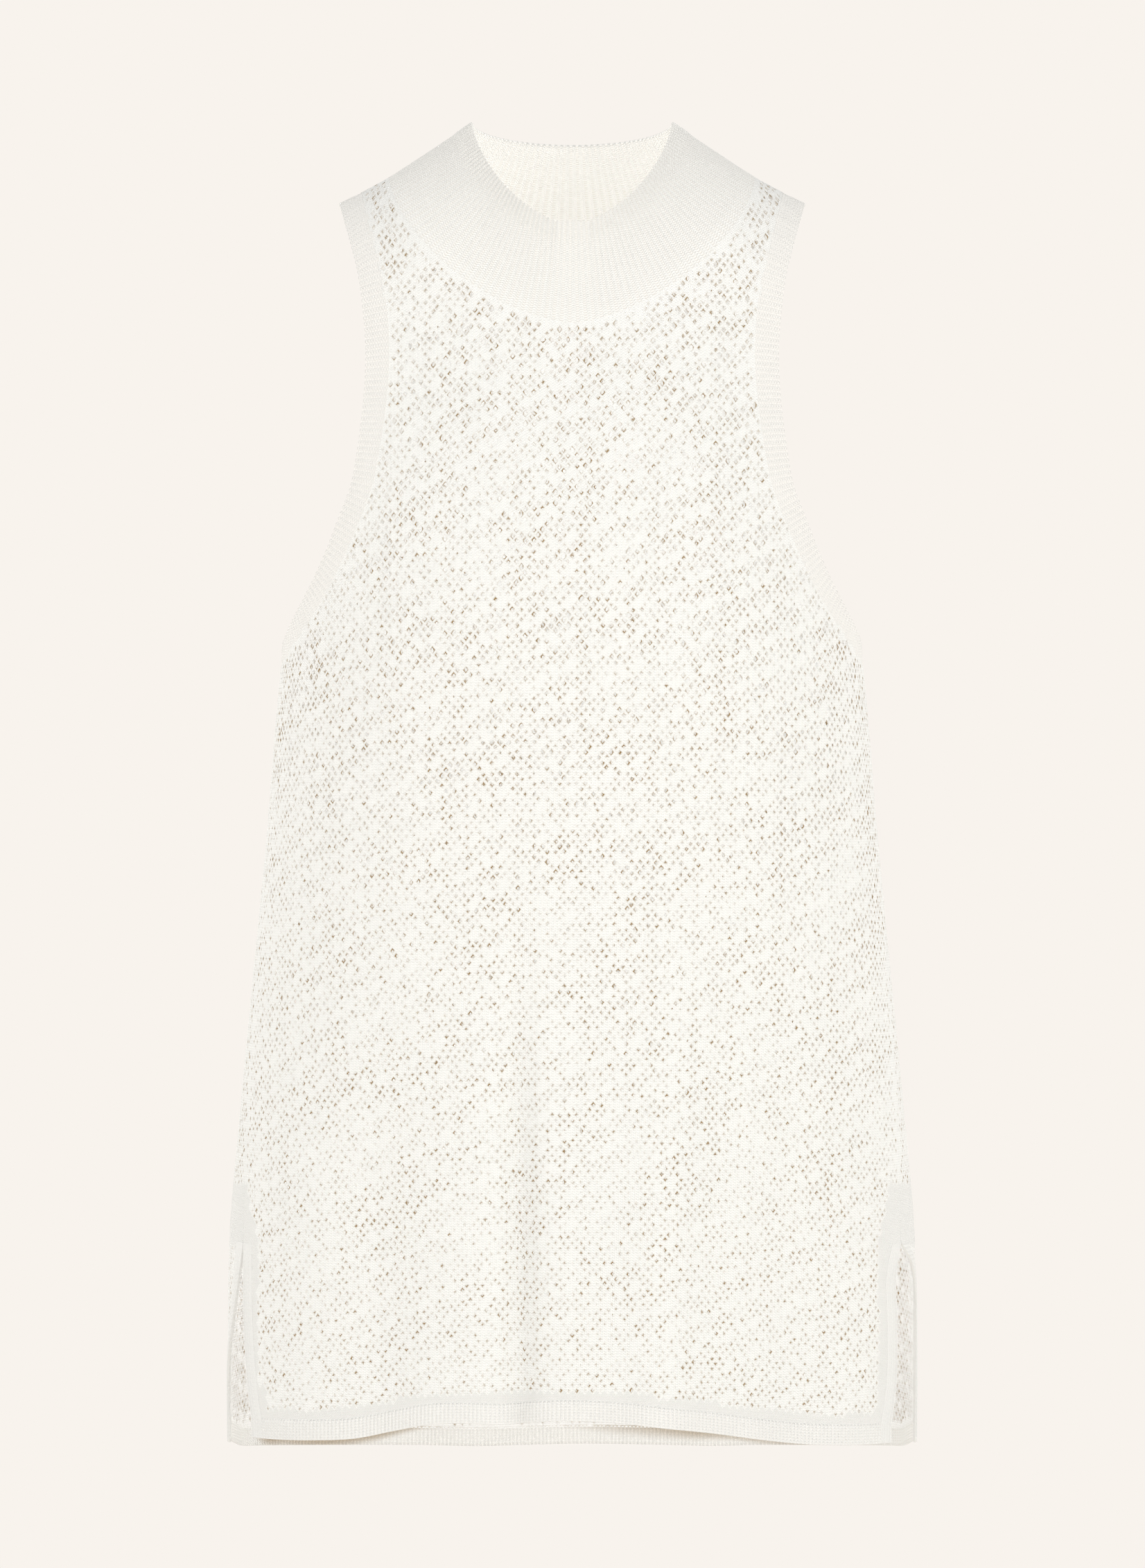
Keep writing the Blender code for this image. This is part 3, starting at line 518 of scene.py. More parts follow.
class Round:
    """Turns distances round the form into angles, and angles into distances, for one panel."""

    def __init__(self, is_front):
        self.middle = 0 if is_front else math.pi
        self.heights = np.linspace(NET[0, 0], NET[-1, 0], 240)
        self.turn = np.linspace(-1.95, 1.95, 391)
        points = skin(self.turn[None, :] + self.middle, self.heights[:, None])
        run = np.cumsum(np.linalg.norm(np.diff(points, axis=1), axis=2), axis=1)
        run = np.pad(run, ((0, 0), (1, 0)))
        self.run = run - run[:, len(self.turn) // 2, None]
        far = np.abs(self.run).max()
        self.at = np.linspace(-far, far, 801)
        self.turns = np.array([np.interp(self.at, row, self.turn) for row in self.run])

    def _row(self, h):
        return (h - self.heights[0]) / (self.heights[1] - self.heights[0])

    def distance(self, theta, h):
        turn = np.mod(theta - self.middle + math.pi, 2 * math.pi) - math.pi
        column = (turn - self.turn[0]) / (self.turn[1] - self.turn[0])
        return bilinear(self.run, self._row(h), column)

    def theta(self, distance, h):
        column = (distance - self.at[0]) / (self.at[1] - self.at[0])
        return bilinear(self.turns, self._row(h), column) + self.middle


def course_heights():
    """Heights, and the course that each is on at the panel's middle."""
    heights = np.linspace(NET[-1, 0], NET[0, 0], 600)
    pitch = smooth(NET, 2, heights)
    course = np.concatenate([[0], np.cumsum(-np.diff(heights) / (pitch[1:] + pitch[:-1]) * 2)])
    course -= np.interp(-NET_LEVEL, -heights, course)
    return heights, course


def course_at(height):
    heights, courses = course_heights()
    return np.interp(-height, -heights, courses)


def lattice_place(wale, course, around, is_front):
    """How far round the form, and how high, each place of the net lies."""
    heights, courses = course_heights()
    level = np.interp(course, courses, heights)
    down = np.linspace(-ABOVE_RIDGE, SHOULDER_ROLL * math.pi / 2, 200)
    slope = np.maximum(np.sin(down / SHOULDER_ROLL), LEAST_SLOPE)
    fall = np.concatenate([[0], np.cumsum((slope[1:] + slope[:-1]) / 2 * np.diff(down))])
    fall += down[-1] - fall[-1]
    h = level.copy()
    for _ in range(4):
        distance = (wale - (NET_MIDDLE if is_front else 0)) * smooth(NET, 1, h)
        turn = around.theta(distance, h)
        hung = level - smooth(NET, 3, level) * np.sin(turn) ** 2
        ridge = shoulder_line(skin(turn, h)[..., 0]) + ROLL_EXTRA
        below = ridge - hung
        h = ridge - np.where(below < down[-1], np.interp(below, fall, down), below)
    return distance, h


def nearest_on(outline, spots):
    """For each spot, whether it is inside the closed outline, how far from it, and the outline's nearest point."""
    start, end = outline, np.roll(outline, -1, axis=0)
    run = end - start
    inside = np.zeros(len(spots), bool)
    best = np.full(len(spots), 1e9)
    nearest = np.zeros_like(spots)
    for a, b, ab in zip(start, end, run):
        if a[1] != b[1]:
            crosses = (a[1] > spots[:, 1]) != (b[1] > spots[:, 1])
            at = a[0] + (spots[:, 1] - a[1]) * (b[0] - a[0]) / (b[1] - a[1])
            inside ^= crosses & (at > spots[:, 0])
        share = np.clip(((spots - a) @ ab) / max(ab @ ab, 1e-12), 0, 1)
        point = a + share[:, None] * ab
        away = np.hypot(*(spots - point).T)
        closer = away < best
        best[closer] = away[closer]
        nearest[closer] = point[closer]
    return inside, best, nearest


def no_holes(is_front, x, h, away):
    """Where a panel is plain: at its hem's band, above the slits and along the front's. away is from its edge."""
    low = h < (front_hem if is_front else back_hem)(x) + HEM_BAND + PLAIN_LOW
    half = np.where(x < 0, *NET_HALF_WIDTHS) + PLAIN_NARROWING * fade((h - PLAIN_TOP) / PLAIN_RUN + 1)
    beside = (h < PLAIN_TOP) & (is_front | (h > SLIT_TOP - PLAIN_BELOW_SLIT))
    strip = FRONT_HEM_PLAIN if is_front else BACK_HEM_PLAIN
    return low & (away < strip + HALF_CELL) | beside & (np.abs(x) > half)


def net(is_front, outline, rng):
    """The cells of a panel's net, as places on the flat cloth: all corners, the four of each cell, which cells have a
    hole, the others' middles, the holes' rims, each cell's course, whether it is plain knit, and each hole's patch."""
    around = Round(is_front)
    edge = np.stack([around.distance(*outline), outline[1]], axis=1)
    low, high = edge.min(axis=0), edge.max(axis=0)
    middle_wale = NET_MIDDLE if is_front else 0
    # corner k of course r lies half a column right of site k, and is the top corner of the site below it
    columns = np.arange(int(low[0] / NET[0, 1] + middle_wale) - 4, int(high[0] / NET[0, 1] + middle_wale) + 5)
    rows = np.arange(int(course_at(high[1])) - 3, int(course_at(low[1])) + 3)
    wale = columns[None, :] + (rows % 2)[:, None] * 0.5
    course = np.broadcast_to(rows[:, None], wale.shape).astype(float).ravel()
    index = np.arange(wale.size).reshape(wale.shape)
    wale = wale.ravel()
    corner, site = (np.stack(lattice_place(at, course, around, is_front), axis=1) for at in (wale + 0.5, wale))
    inside, _, nearest = nearest_on(edge, corner)
    corner[~inside] = nearest[~inside]
    site_inside, site_away, _ = nearest_on(edge, site)
    # on odd courses the corner above and below site k is k, and else k - 1
    sites = index[1:-1, 1:-1]
    over = np.where((rows[1:-1] % 2)[:, None] == 1, sites, sites - 1)
    quad = np.stack([over - len(columns), sites, over + len(columns), sites - 1], axis=2).reshape(-1, 4)
    some = inside[quad].any(axis=1)
    quad, sites = quad[some], sites.ravel()[some]
    wale, course, middle, away = wale[sites], course[sites], site[sites], site_away[sites]
    size = CHART[course.astype(int) % NET_COURSES, np.floor(wale).astype(int) % NET_COLUMNS]
    size = size * rng.lognormal(-(HOLE_SPREAD**2) / 2, HOLE_SPREAD, len(sites))
    patch = patches(middle, rng)
    size = size * np.exp(PATCH_SPREAD * patch)
    size = np.minimum(size, LARGEST_HOLE) * smooth(NET, 4, middle[:, 1])
    is_plain = no_holes(is_front, skin(around.theta(*middle.T), middle[:, 1])[:, 0], middle[:, 1], away)
    size[~inside[quad].all(axis=1) | (away < NET_MARGIN) | ~site_inside[sites] | is_plain] = 0
    holed = size > 0
    middle[~holed] = corner[quad[~holed]].mean(axis=1)

    holes = holed.sum()
    stretch = rng.lognormal(0, HOLE_STRETCH, (holes, 1))
    lean = rng.normal(0, HOLE_LEAN, (holes, 1))
    up = HOLE[None, :, 1] * size[holed][:, None] * stretch
    across = HOLE[None, :, 0] * size[holed][:, None] / stretch + up * lean
    shift = rng.normal(0, HOLE_SHIFT, (holes, 2))
    rim_wale = wale[holed][:, None] + across * HOLE_HALF_WIDTH + shift[:, :1]
    rim_course = course[holed][:, None] - up * HOLE_HALF_HEIGHT + shift[:, 1:]
    rim = np.stack(lattice_place(rim_wale.ravel(), rim_course.ravel(), around, is_front), axis=1)
    used, packed = np.unique(quad, return_inverse=True)
    return around, corner[used], packed.reshape(quad.shape), holed, middle[~holed], rim, course, is_plain, patch[holed]


def patches(places, rng):
    """A slow random wave over the cloth, between about -2 and 2."""
    total = np.zeros(len(places))
    for _ in range(PATCH_WAVES):
        length, heading, start = rng.uniform(0.03, 0.09), rng.uniform(0, math.pi), rng.uniform(0, 2 * math.pi)
        along = places @ np.array([math.cos(heading), math.sin(heading)])
        total += np.sin(2 * math.pi * along / length + start)
    return total / math.sqrt(PATCH_WAVES / 2)


def cell_faces(cells, pattern):
    """The triangles of a pattern in all the cells, each of which is a row of points."""
    return cells.T[pattern].swapaxes(1, 2).reshape(-1, 3)


def net_mesh(is_front, outline, rng):
    """The net's points, triangles, yarn coordinates, each point's painted shade deep in a hole, and each triangle's
    course
    and material: 0 outside, 1 inside, 2 outside where it is plain. Its cells are as they lie on the flat cloth."""
    around, corners, quad, holed, fillings, rim, courses, is_plain, patch = net(is_front, outline, rng)
    corner_count, fill_count, hole_count = len(corners), len(fillings), len(rim) // 6
    places = np.concatenate([corners, fillings, rim])
    flat = around.theta(*places.T), places[:, 1]
    base, out = skin(*flat), normals(*flat)
    # painted shade deep in each hole: lighter on one side, as if lit from there, and darker in some holes and patches
    turn = np.linspace(0, 2 * math.pi, 7)[None, :-1] - rng.uniform(0, 2 * math.pi, (hole_count, 1))
    painted_shade = np.zeros(2 * corner_count + fill_count + 6 * hole_count)
    dark = HOLE_DARKNESS + PATCH_SHADE * patch + rng.normal(0, HOLE_SHADE, hole_count)
    dark = np.clip(dark, *HOLE_DARKNESS_LIMITS)
    painted_shade[-6 * hole_count :] = ((1 - HOLE_LIT_SIDE + HOLE_LIT_SIDE * np.cos(turn)) * dark[:, None]).ravel()
    rough = rng.normal(0, YARN_ROUGH, corner_count)
    outer, inner = (base[:corner_count] + out[:corner_count] * (x + rough)[:, None] for x in (NET_OUTER, NET_INNER))
    rest = base[corner_count:] + out[corner_count:] * NET_RIM
    rest[:fill_count] += out[corner_count : corner_count + fill_count] * (NET_OUTER - NET_RIM - FILLING_DIP)
    yarn = np.stack([places[:, 0] / smooth(NET, 1, places[:, 1]), course_at(places[:, 1])], axis=1)

    rims = 2 * corner_count + fill_count + np.arange(6 * hole_count).reshape(-1, 6)
    middles = 2 * corner_count + np.arange(fill_count)[:, None]
    parts = (
        (np.hstack([quad[holed], rims]), HOLED_CELL, courses[holed], 0),
        (np.hstack([quad[holed] + corner_count, rims]), HOLED_CELL[:, ::-1], courses[holed], 1),
        (np.hstack([quad[~holed], middles]), FILLED_CELL, courses[~holed], 2 * is_plain[~holed]),
        (quad[~holed] + corner_count, CELL_INSIDE, courses[~holed], 1),
    )
    looks = [np.tile(np.broadcast_to(look, len(cells)), len(pattern)) for cells, pattern, _, look in parts]
    return SimpleNamespace(
        points=np.concatenate([outer, inner, rest]),
        faces=np.concatenate([cell_faces(cells, pattern) for cells, pattern, _, _ in parts]),
        yarn=np.concatenate([yarn[:corner_count], yarn]),
        painted_shade=painted_shade,
        level=np.concatenate([np.tile(level, len(pattern)) for _, pattern, level, _ in parts]),
        finish=np.concatenate(looks),
        corner_count=corner_count,
        cells=corners[quad],
        cell_level=courses,
    )


def walls(faces, corner_count):
    """Triangles that close a part of the net along its border, from its outer corners to the inner ones."""
    ends = np.concatenate([faces[:, [0, 1]], faces[:, [1, 2]], faces[:, [2, 0]]])
    ends = ends[(ends < corner_count).all(axis=1)]
    _, first, count = np.unique(np.sort(ends, axis=1), axis=0, return_index=True, return_counts=True)
    a, b = ends[first[count == 1]].T
    under_a, under_b = a + corner_count, b + corner_count
    return np.concatenate([np.stack([b, a, under_a], axis=1), np.stack([b, under_a, under_b], axis=1)])


def course_cuts(level, count):
    """Courses that share the faces out evenly between the meshes of one panel."""
    order = np.sort(level)
    return [-1e9, *(order[len(order) * k // count] for k in range(1, count)), 1e9]


def vertex_normals(points, faces):
    """The normal at each point, over triangles or quads."""
    a, b, c = (points[faces[:, k]] for k in range(3))
    face_normals = np.cross(b - a, c - a)
    total = np.zeros_like(points)
    for k in range(faces.shape[1]):
        for axis in range(3):
            total[:, axis] += np.bincount(faces[:, k], face_normals[:, axis], len(points))
    return total / np.maximum(np.linalg.norm(total, axis=1, keepdims=True), 1e-12)


def add_object(name, data, place=(0, 0, 0)):
    item = bpy.data.objects.new(name, data)
    item.location = place
    bpy.context.scene.collection.objects.link(item)
    return item


def add_piece(name, points, faces, yarn, shading, painted_shade, finish=None):
    """A smooth mesh of triangles or quads. Each point has a yarn coordinate and its painted shade, deep in a hole or in
    the front hem's shadow, each face's corner a normal (0 for a smooth one), and each face the number of its material."""
    mesh = bpy.data.meshes.new(name)
    starts = np.arange(0, faces.size, faces.shape[1], dtype=np.int32)
    for items, count, key, values in (
        (mesh.vertices, len(points), "co", points.astype(np.float32)),
        (mesh.loops, faces.size, "vertex_index", faces.astype(np.int32)),
        (mesh.polygons, len(faces), "loop_start", starts),
    ):
        items.add(count)
        items.foreach_set(key, values.ravel())
    layer = mesh.uv_layers.new(name="yarn")
    layer.uv.foreach_set("vector", yarn[faces.ravel()].astype(np.float32).ravel())
    if finish is not None:
        mesh.polygons.foreach_set("material_index", finish.astype(np.int32))
    # each point's painted shade
    mesh.attributes.new("painted_shade", "FLOAT", "POINT")
    mesh.attributes["painted_shade"].data.foreach_set("value", painted_shade.astype(np.float32))
    mesh.update(calc_edges=True)
    mesh.shade_smooth()
    mesh.normals_split_custom_set(shading.astype(np.float32))
    return add_object(name, mesh)


def panel_pieces(is_front, outline, rng):
    """The meshes of one panel, cut along its courses."""
    cloth = net_mesh(is_front, outline, rng)
    is_inner = cloth.finish == 1
    outward, inward = (vertex_normals(cloth.points, cloth.faces[some]) for some in (~is_inner, is_inner))
    shading = np.where(is_inner[:, None, None], inward[cloth.faces], outward[cloth.faces])
    cuts = course_cuts(cloth.level, NET_PIECES)
    for number, (low, high) in enumerate(zip(cuts, cuts[1:])):
        among = (cloth.level >= low) & (cloth.level < high)
        border = walls(cloth.faces[among], cloth.corner_count)
        used, part = np.unique(np.concatenate([cloth.faces[among], border]), return_inverse=True)
        name = f"{'front' if is_front else 'back'}_net_{number + 1}"
        look = np.append(cloth.finish[among], np.ones(len(border), int))
        facing = np.concatenate([shading[among].reshape(-1, 3), np.zeros((3 * len(border), 3))])
        x, y = np.moveaxis(cloth.cells[(cloth.cell_level >= low) & (cloth.cell_level < high)], 2, 0)
        areas = np.abs((x * np.roll(y, -1, axis=1) - y * np.roll(x, -1, axis=1)).sum(axis=1)) / 2
        CUTS[name] = (np.ptp(x), np.ptp(y), areas.sum())
        faces = part.reshape(-1, 3)
        yield add_piece(name, cloth.points[used], faces, cloth.yarn[used], facing, cloth.painted_shade[used], look)


# Ribs


def rib_height(place, share):
    """How far the knit stands out over a rib: 1 on the knit wale, 0 in the furrow. share is the wale's part of it."""
    turn = np.mod(place, 1.0)
    wale = np.clip(turn / share, 0, 1)
    furrow = np.clip((turn - share) / (1 - share), 0, 1)
    return np.where(turn < share, 0.5 + 0.5 * np.sin(math.pi * wale), 0.5 - 0.5 * np.sin(math.pi * furrow))


def shell(name, base, out, outer, inner, ribs, courses, closed=False, shade=None):
    """A closed sheet over base points, [row, column], from the inner to the outer distance along out, with its first
    and last rows rounded off. ribs and courses are the yarn coordinates of its columns and rows, and shade darkens
    its inside."""
    shade = np.zeros(base.shape[:2]) if shade is None else shade
    if not closed:
        base, out, outer, inner, ribs = with_ends(base, out, outer, inner, ribs)
        shade = np.pad(shade, ((0, 0), (1, 1)))
    columns = base.shape[1]
    faces_out, faces_in, middle = (base + out * away[..., None] for away in (outer, inner, (outer + inner) / 2))
    lip_first = middle[0] + unit(base[0] - base[1]) * LIP
    lip_last = middle[-1] + unit(base[-1] - base[-2]) * LIP
    grid = np.concatenate([lip_first[None], faces_out, lip_last[None], faces_in[::-1]])
    course = np.concatenate([courses[:1], courses, courses[-1:], courses[::-1]])
    yarn = np.stack(np.broadcast_arrays(ribs[None, :], course[:, None]), axis=2).reshape(-1, 2)
    row = np.arange(len(grid))[:, None]
    column = np.arange(columns if closed else columns - 1)[None, :]
    here, below, beside = row * columns, (row + 1) % len(grid) * columns, (column + 1) % columns
    faces = np.stack([here + column, here + beside, below + beside, below + column], axis=2).reshape(-1, 4)
    points = grid.reshape(-1, 3)
    if volume(points, faces) < 0:
        faces = faces[:, ::-1]
    CUTS[name] = cut_of(base, closed)
    # painted shade on the inside only, such as the front hem's shadow
    painted_shade = np.concatenate([np.zeros((len(base) + 2, columns)), shade[::-1]]).ravel()
    is_face = ((row > 0) & (row < len(base)) & (closed | (column > 0) & (column < columns - 2))).ravel()
    facing = np.zeros((len(faces), 4, 3))
    facing[is_face] = vertex_normals(points, faces[is_face])[faces[is_face]]
    return add_piece(name, points, faces, yarn, facing.reshape(-1, 3), painted_shade)


def cut_of(base, closed):
    """The widest and longest that a sheet of base points is when it lies flat, and its area."""
    if closed:
        base = np.concatenate([base, base[:, :1]], axis=1)
    across, along = np.diff(base, axis=1), np.diff(base, axis=0)
    widths, lengths = np.linalg.norm(across, axis=2).sum(axis=1), np.linalg.norm(along, axis=2).sum(axis=0)
    area = np.linalg.norm(np.cross(across[:-1], along[:, :-1]), axis=2).sum()
    return widths.max(), lengths.max(), area


def with_ends(base, out, outer, inner, ribs):
    """One more column at each end of a shell, where its outside and inside meet."""
    before = base[:, :1] + unit(base[:, :1] - base[:, 1:2]) * LIP
    after = base[:, -1:] + unit(base[:, -1:] - base[:, -2:-1]) * LIP
    middle = (outer + inner) / 2
    outer, inner = (np.concatenate([middle[:, :1], away, middle[:, -1:]], axis=1) for away in (outer, inner))
    out = np.pad(out, ((0, 0), (1, 1), (0, 0)), "edge")
    return np.concatenate([before, base, after], axis=1), out, outer, inner, np.pad(ribs, 1, "edge")


def volume(points, faces):
    a, b, c, d = (points[faces[:, k]] for k in range(4))
    return float((a * (np.cross(b, c) + np.cross(c, d))).sum())


def collar():
    """The funnel collar, from a plain bead along the neckline up through the ribs to the rim."""
    counts = RIB_POINTS * COLLAR_FRONT_RIBS, RIB_POINTS * COLLAR_BACK_RIBS
    around = ring(spaced(*neck_curve(True), counts[0]), backwards(spaced(*neck_curve(False), counts[1])))
    seam, out = skin(*around), normals(*around)
    turn = np.linspace(0, math.pi, 641)
    drop = RIM_FRONT_DROP * (1 - np.abs(np.cos(turn)) ** FRONT_CURVE_POWER) ** (1 / FRONT_CURVE_POWER)
    across, along = RIM_HALF * np.cos(turn), np.sin(turn)
    rim_front = np.stack([across, -RIM_FRONT_DEPTH * along, RIM_SIDE_Z - np.minimum(drop, RIM_LEVEL_DROP)])
    rim_back = np.stack([-across, RIM_BACK_DEPTH * along, RIM_SIDE_Z - RIM_BACK_DROP * along])
    rims = (spread(line.T, count, *line) for line, count in zip((rim_front, rim_back), counts))
    rim = np.stack(ring(*rims), axis=1)
    share = np.linspace(0, 1, COLLAR_ROWS + 1)
    up = share[:, None, None]
    base = seam * (1 - up) + rim * up
    flat = unit(base * (1, 1, 0))
    base = base - flat * (np.abs(flat[..., 1:2]) * COLLAR_HOLLOW * np.sin(math.pi * up))
    wall = unit(np.cross(np.gradient(base, axis=0), np.roll(base, -1, axis=1) - np.roll(base, 1, axis=1)))
    wall *= np.sign((wall[2] * flat[2]).sum())
    blend = fade(up / COLLAR_SETTLE)
    wall = unit(out * (1 - blend) + wall * blend)

    ribs = np.arange(base.shape[1]) / RIB_POINTS
    from_rim, from_seam = (np.linalg.norm(base - base[end], axis=2) for end in (-1, 0))
    near_rim = fade(1 - (from_rim - COLLAR_RIM_RIBS) / COLLAR_RIM_FADE)
    near_seam = fade(1 - from_seam / COLLAR_BEAD)
    relief = (COLLAR_RELIEF + (COLLAR_RIM_RELIEF - COLLAR_RELIEF) * near_rim) * (1 - near_seam)
    wale = COLLAR_WALE + (COLLAR_RIM_WALE - COLLAR_WALE) * near_rim
    height = relief * rib_height(ribs[None, :], wale)
    outer = COLLAR_WALL + height + COLLAR_BEAD_RELIEF * near_seam
    inner = COLLAR_INNER + COLLAR_FOLLOW * height
    return shell("ribbed_collar", base, wall, outer, inner, ribs, share * COLLAR_COURSES, closed=True)


def armhole_band(name, side, edge, seams):
    """A ring of ribs round an armhole. It starts a little over the net's edge."""
    count = ARMHOLE_RIBS * RIB_POINTS
    around = ring(*(spaced(*half, count) for half in edge))
    free, out_free = skin(*around), normals(*around)
    seam, out_seam = ring(resampled(seams[0], count), resampled(backwards(seams[1]), count))
    seam = seam + unit(seam - free) * BAND_LAP
    share = np.linspace(0, 1, ARMHOLE_ROWS + 1)
    up = share[:, None, None]
    base = seam * (1 - up) + free * up
    out = unit(out_seam * (1 - up) + out_free * up)
    ribs = np.arange(base.shape[1]) / RIB_POINTS
    height = ARMHOLE_RELIEF * fade(share / ARMHOLE_FADE - 1)[:, None] * rib_height(ribs[None, :], BAND_WALE)
    outer, inner = BAND_WALL + height, BAND_FOLLOW * height
    flip = np.array([side, 1, 1])
    return shell(name, base * flip, out * flip, outer, inner, ribs, share * ARMHOLE_COURSES, closed=True)


def resampled(curve, count):
    """Points and normals of the form along a curve of a few places, evenly spread."""
    index = np.arange(len(curve[0]))
    at = np.linspace(0, index[-1], count + 1)
    values = np.concatenate([skin(*curve), normals(*curve)], axis=1)
    values = np.stack([np.interp(at, index, value) for value in values.T], axis=1)
    return values[:, :3], unit(values[:, 3:])


def hem_curve(is_front, left, right, lift, count):
    """Places along a hem, from the left slit's band to the right one's, lift above the hem."""
    hem = front_hem if is_front else back_hem
    turn = np.linspace(left, right if is_front else right - 2 * math.pi, 401)
    z = hem(skin(turn, hem(0))[:, 0]) + lift
    (theta,) = spread(skin(turn, z), count, turn)
    order = np.argsort(turn)
    return theta, np.interp(theta, turn[order], z[order])


def hem_band(name, is_front, left, right):
    """A strip of upright ribs along a hem, up to a plain strip over the net's edge."""
    rows, count = (FRONT_HEM_ROWS, FRONT_HEM_RIBS) if is_front else (BACK_HEM_ROWS, BACK_HEM_RIBS)
    share = np.linspace(0, 1, rows + 1)
    lines = [hem_curve(is_front, left, right, lift, count * RIB_POINTS) for lift in share * (HEM_BAND + BAND_LAP)]
    base, out = (np.array([face(*line) for line in lines]) for face in (skin, normals))
    ribs = np.arange(base.shape[1]) / RIB_POINTS
    height = HEM_RELIEF * fade((1 - share) / HEM_FADE)[:, None] * rib_height(ribs[None, :], BAND_WALE)
    # the front hem's shadow, painted inside the back's band
    limit, strength, reach = (smooth(HEM_SHADE, column, base[..., 0]) for column in (1, 2, 3))
    shade = np.clip(strength, 0, 1) * fade(1 - (limit - base[..., 2]) / reach) * (not is_front)
    outer, inner = BAND_WALL + height, BAND_FOLLOW * height
    return shell(name, base, out, outer, inner, ribs, share * HEM_COURSES, shade=shade)


def slit_band(name, is_front, lines):
    """A strip of ribs that run along a slit, from the hem up to the slit's top."""
    hem = front_hem if is_front else back_hem
    columns = 2 * SLIT_RIBS * 3 + 1
    length = np.linspace(0, 1, SLIT_LENGTH_ROWS + 1)
    base, out = [], []
    for place in np.linspace(0, len(lines) - 1, columns):
        i = min(int(place), len(lines) - 2)
        theta = lines[i][0] * (1 - (place - i)) + lines[i + 1][0] * (place - i)
        z = lines[i][1]
        to_corner = max(HEM_CORNER - place / (2 * SLIT_RIBS) * SLIT_BAND, 0) * (not is_front)
        bottom = hem(skin(theta[0], z[0])[0]) + (HEM_CORNER - math.sqrt(HEM_CORNER**2 - to_corner**2))
        heights = bottom + (z[-1] - bottom) * length
        line = np.interp(heights, z[1:], theta[1:]), heights
        base.append(skin(*line))
        out.append(normals(*line))
    base, out = np.array(base), np.array(out)
    across = np.arange(columns) / (columns - 1)
    along = np.arange(len(length)) / len(length) * SLIT_COURSES
    near_net, near_top = fade(across / SLIT_FADE - 1)[:, None], fade(1 - (1 - length) / SLIT_TOP_FADE)[None, :]
    height = SLIT_RELIEF * rib_height(across * SLIT_RIBS, BAND_WALE)[:, None] * (1 - near_net) * (1 - near_top)
    return shell(name, base, out, BAND_WALL + height, BAND_FOLLOW * height, along, across * SLIT_RIBS)


# Materials


def add_node(tree, kind, inputs, **settings):
    """A new shader node's outputs. Each of its inputs is another node's output, or a value."""
    node = tree.nodes.new(f"ShaderNode{kind}")
    for name, value in settings.items():
        setattr(node, name, value)
    set_inputs(tree, node, inputs)
    return node.outputs


def set_inputs(tree, node, inputs):
    for name, value in inputs.items():
        if isinstance(value, bpy.types.NodeSocket):
            tree.links.new(value, node.inputs[name])
        else:
            node.inputs[name].default_value = value


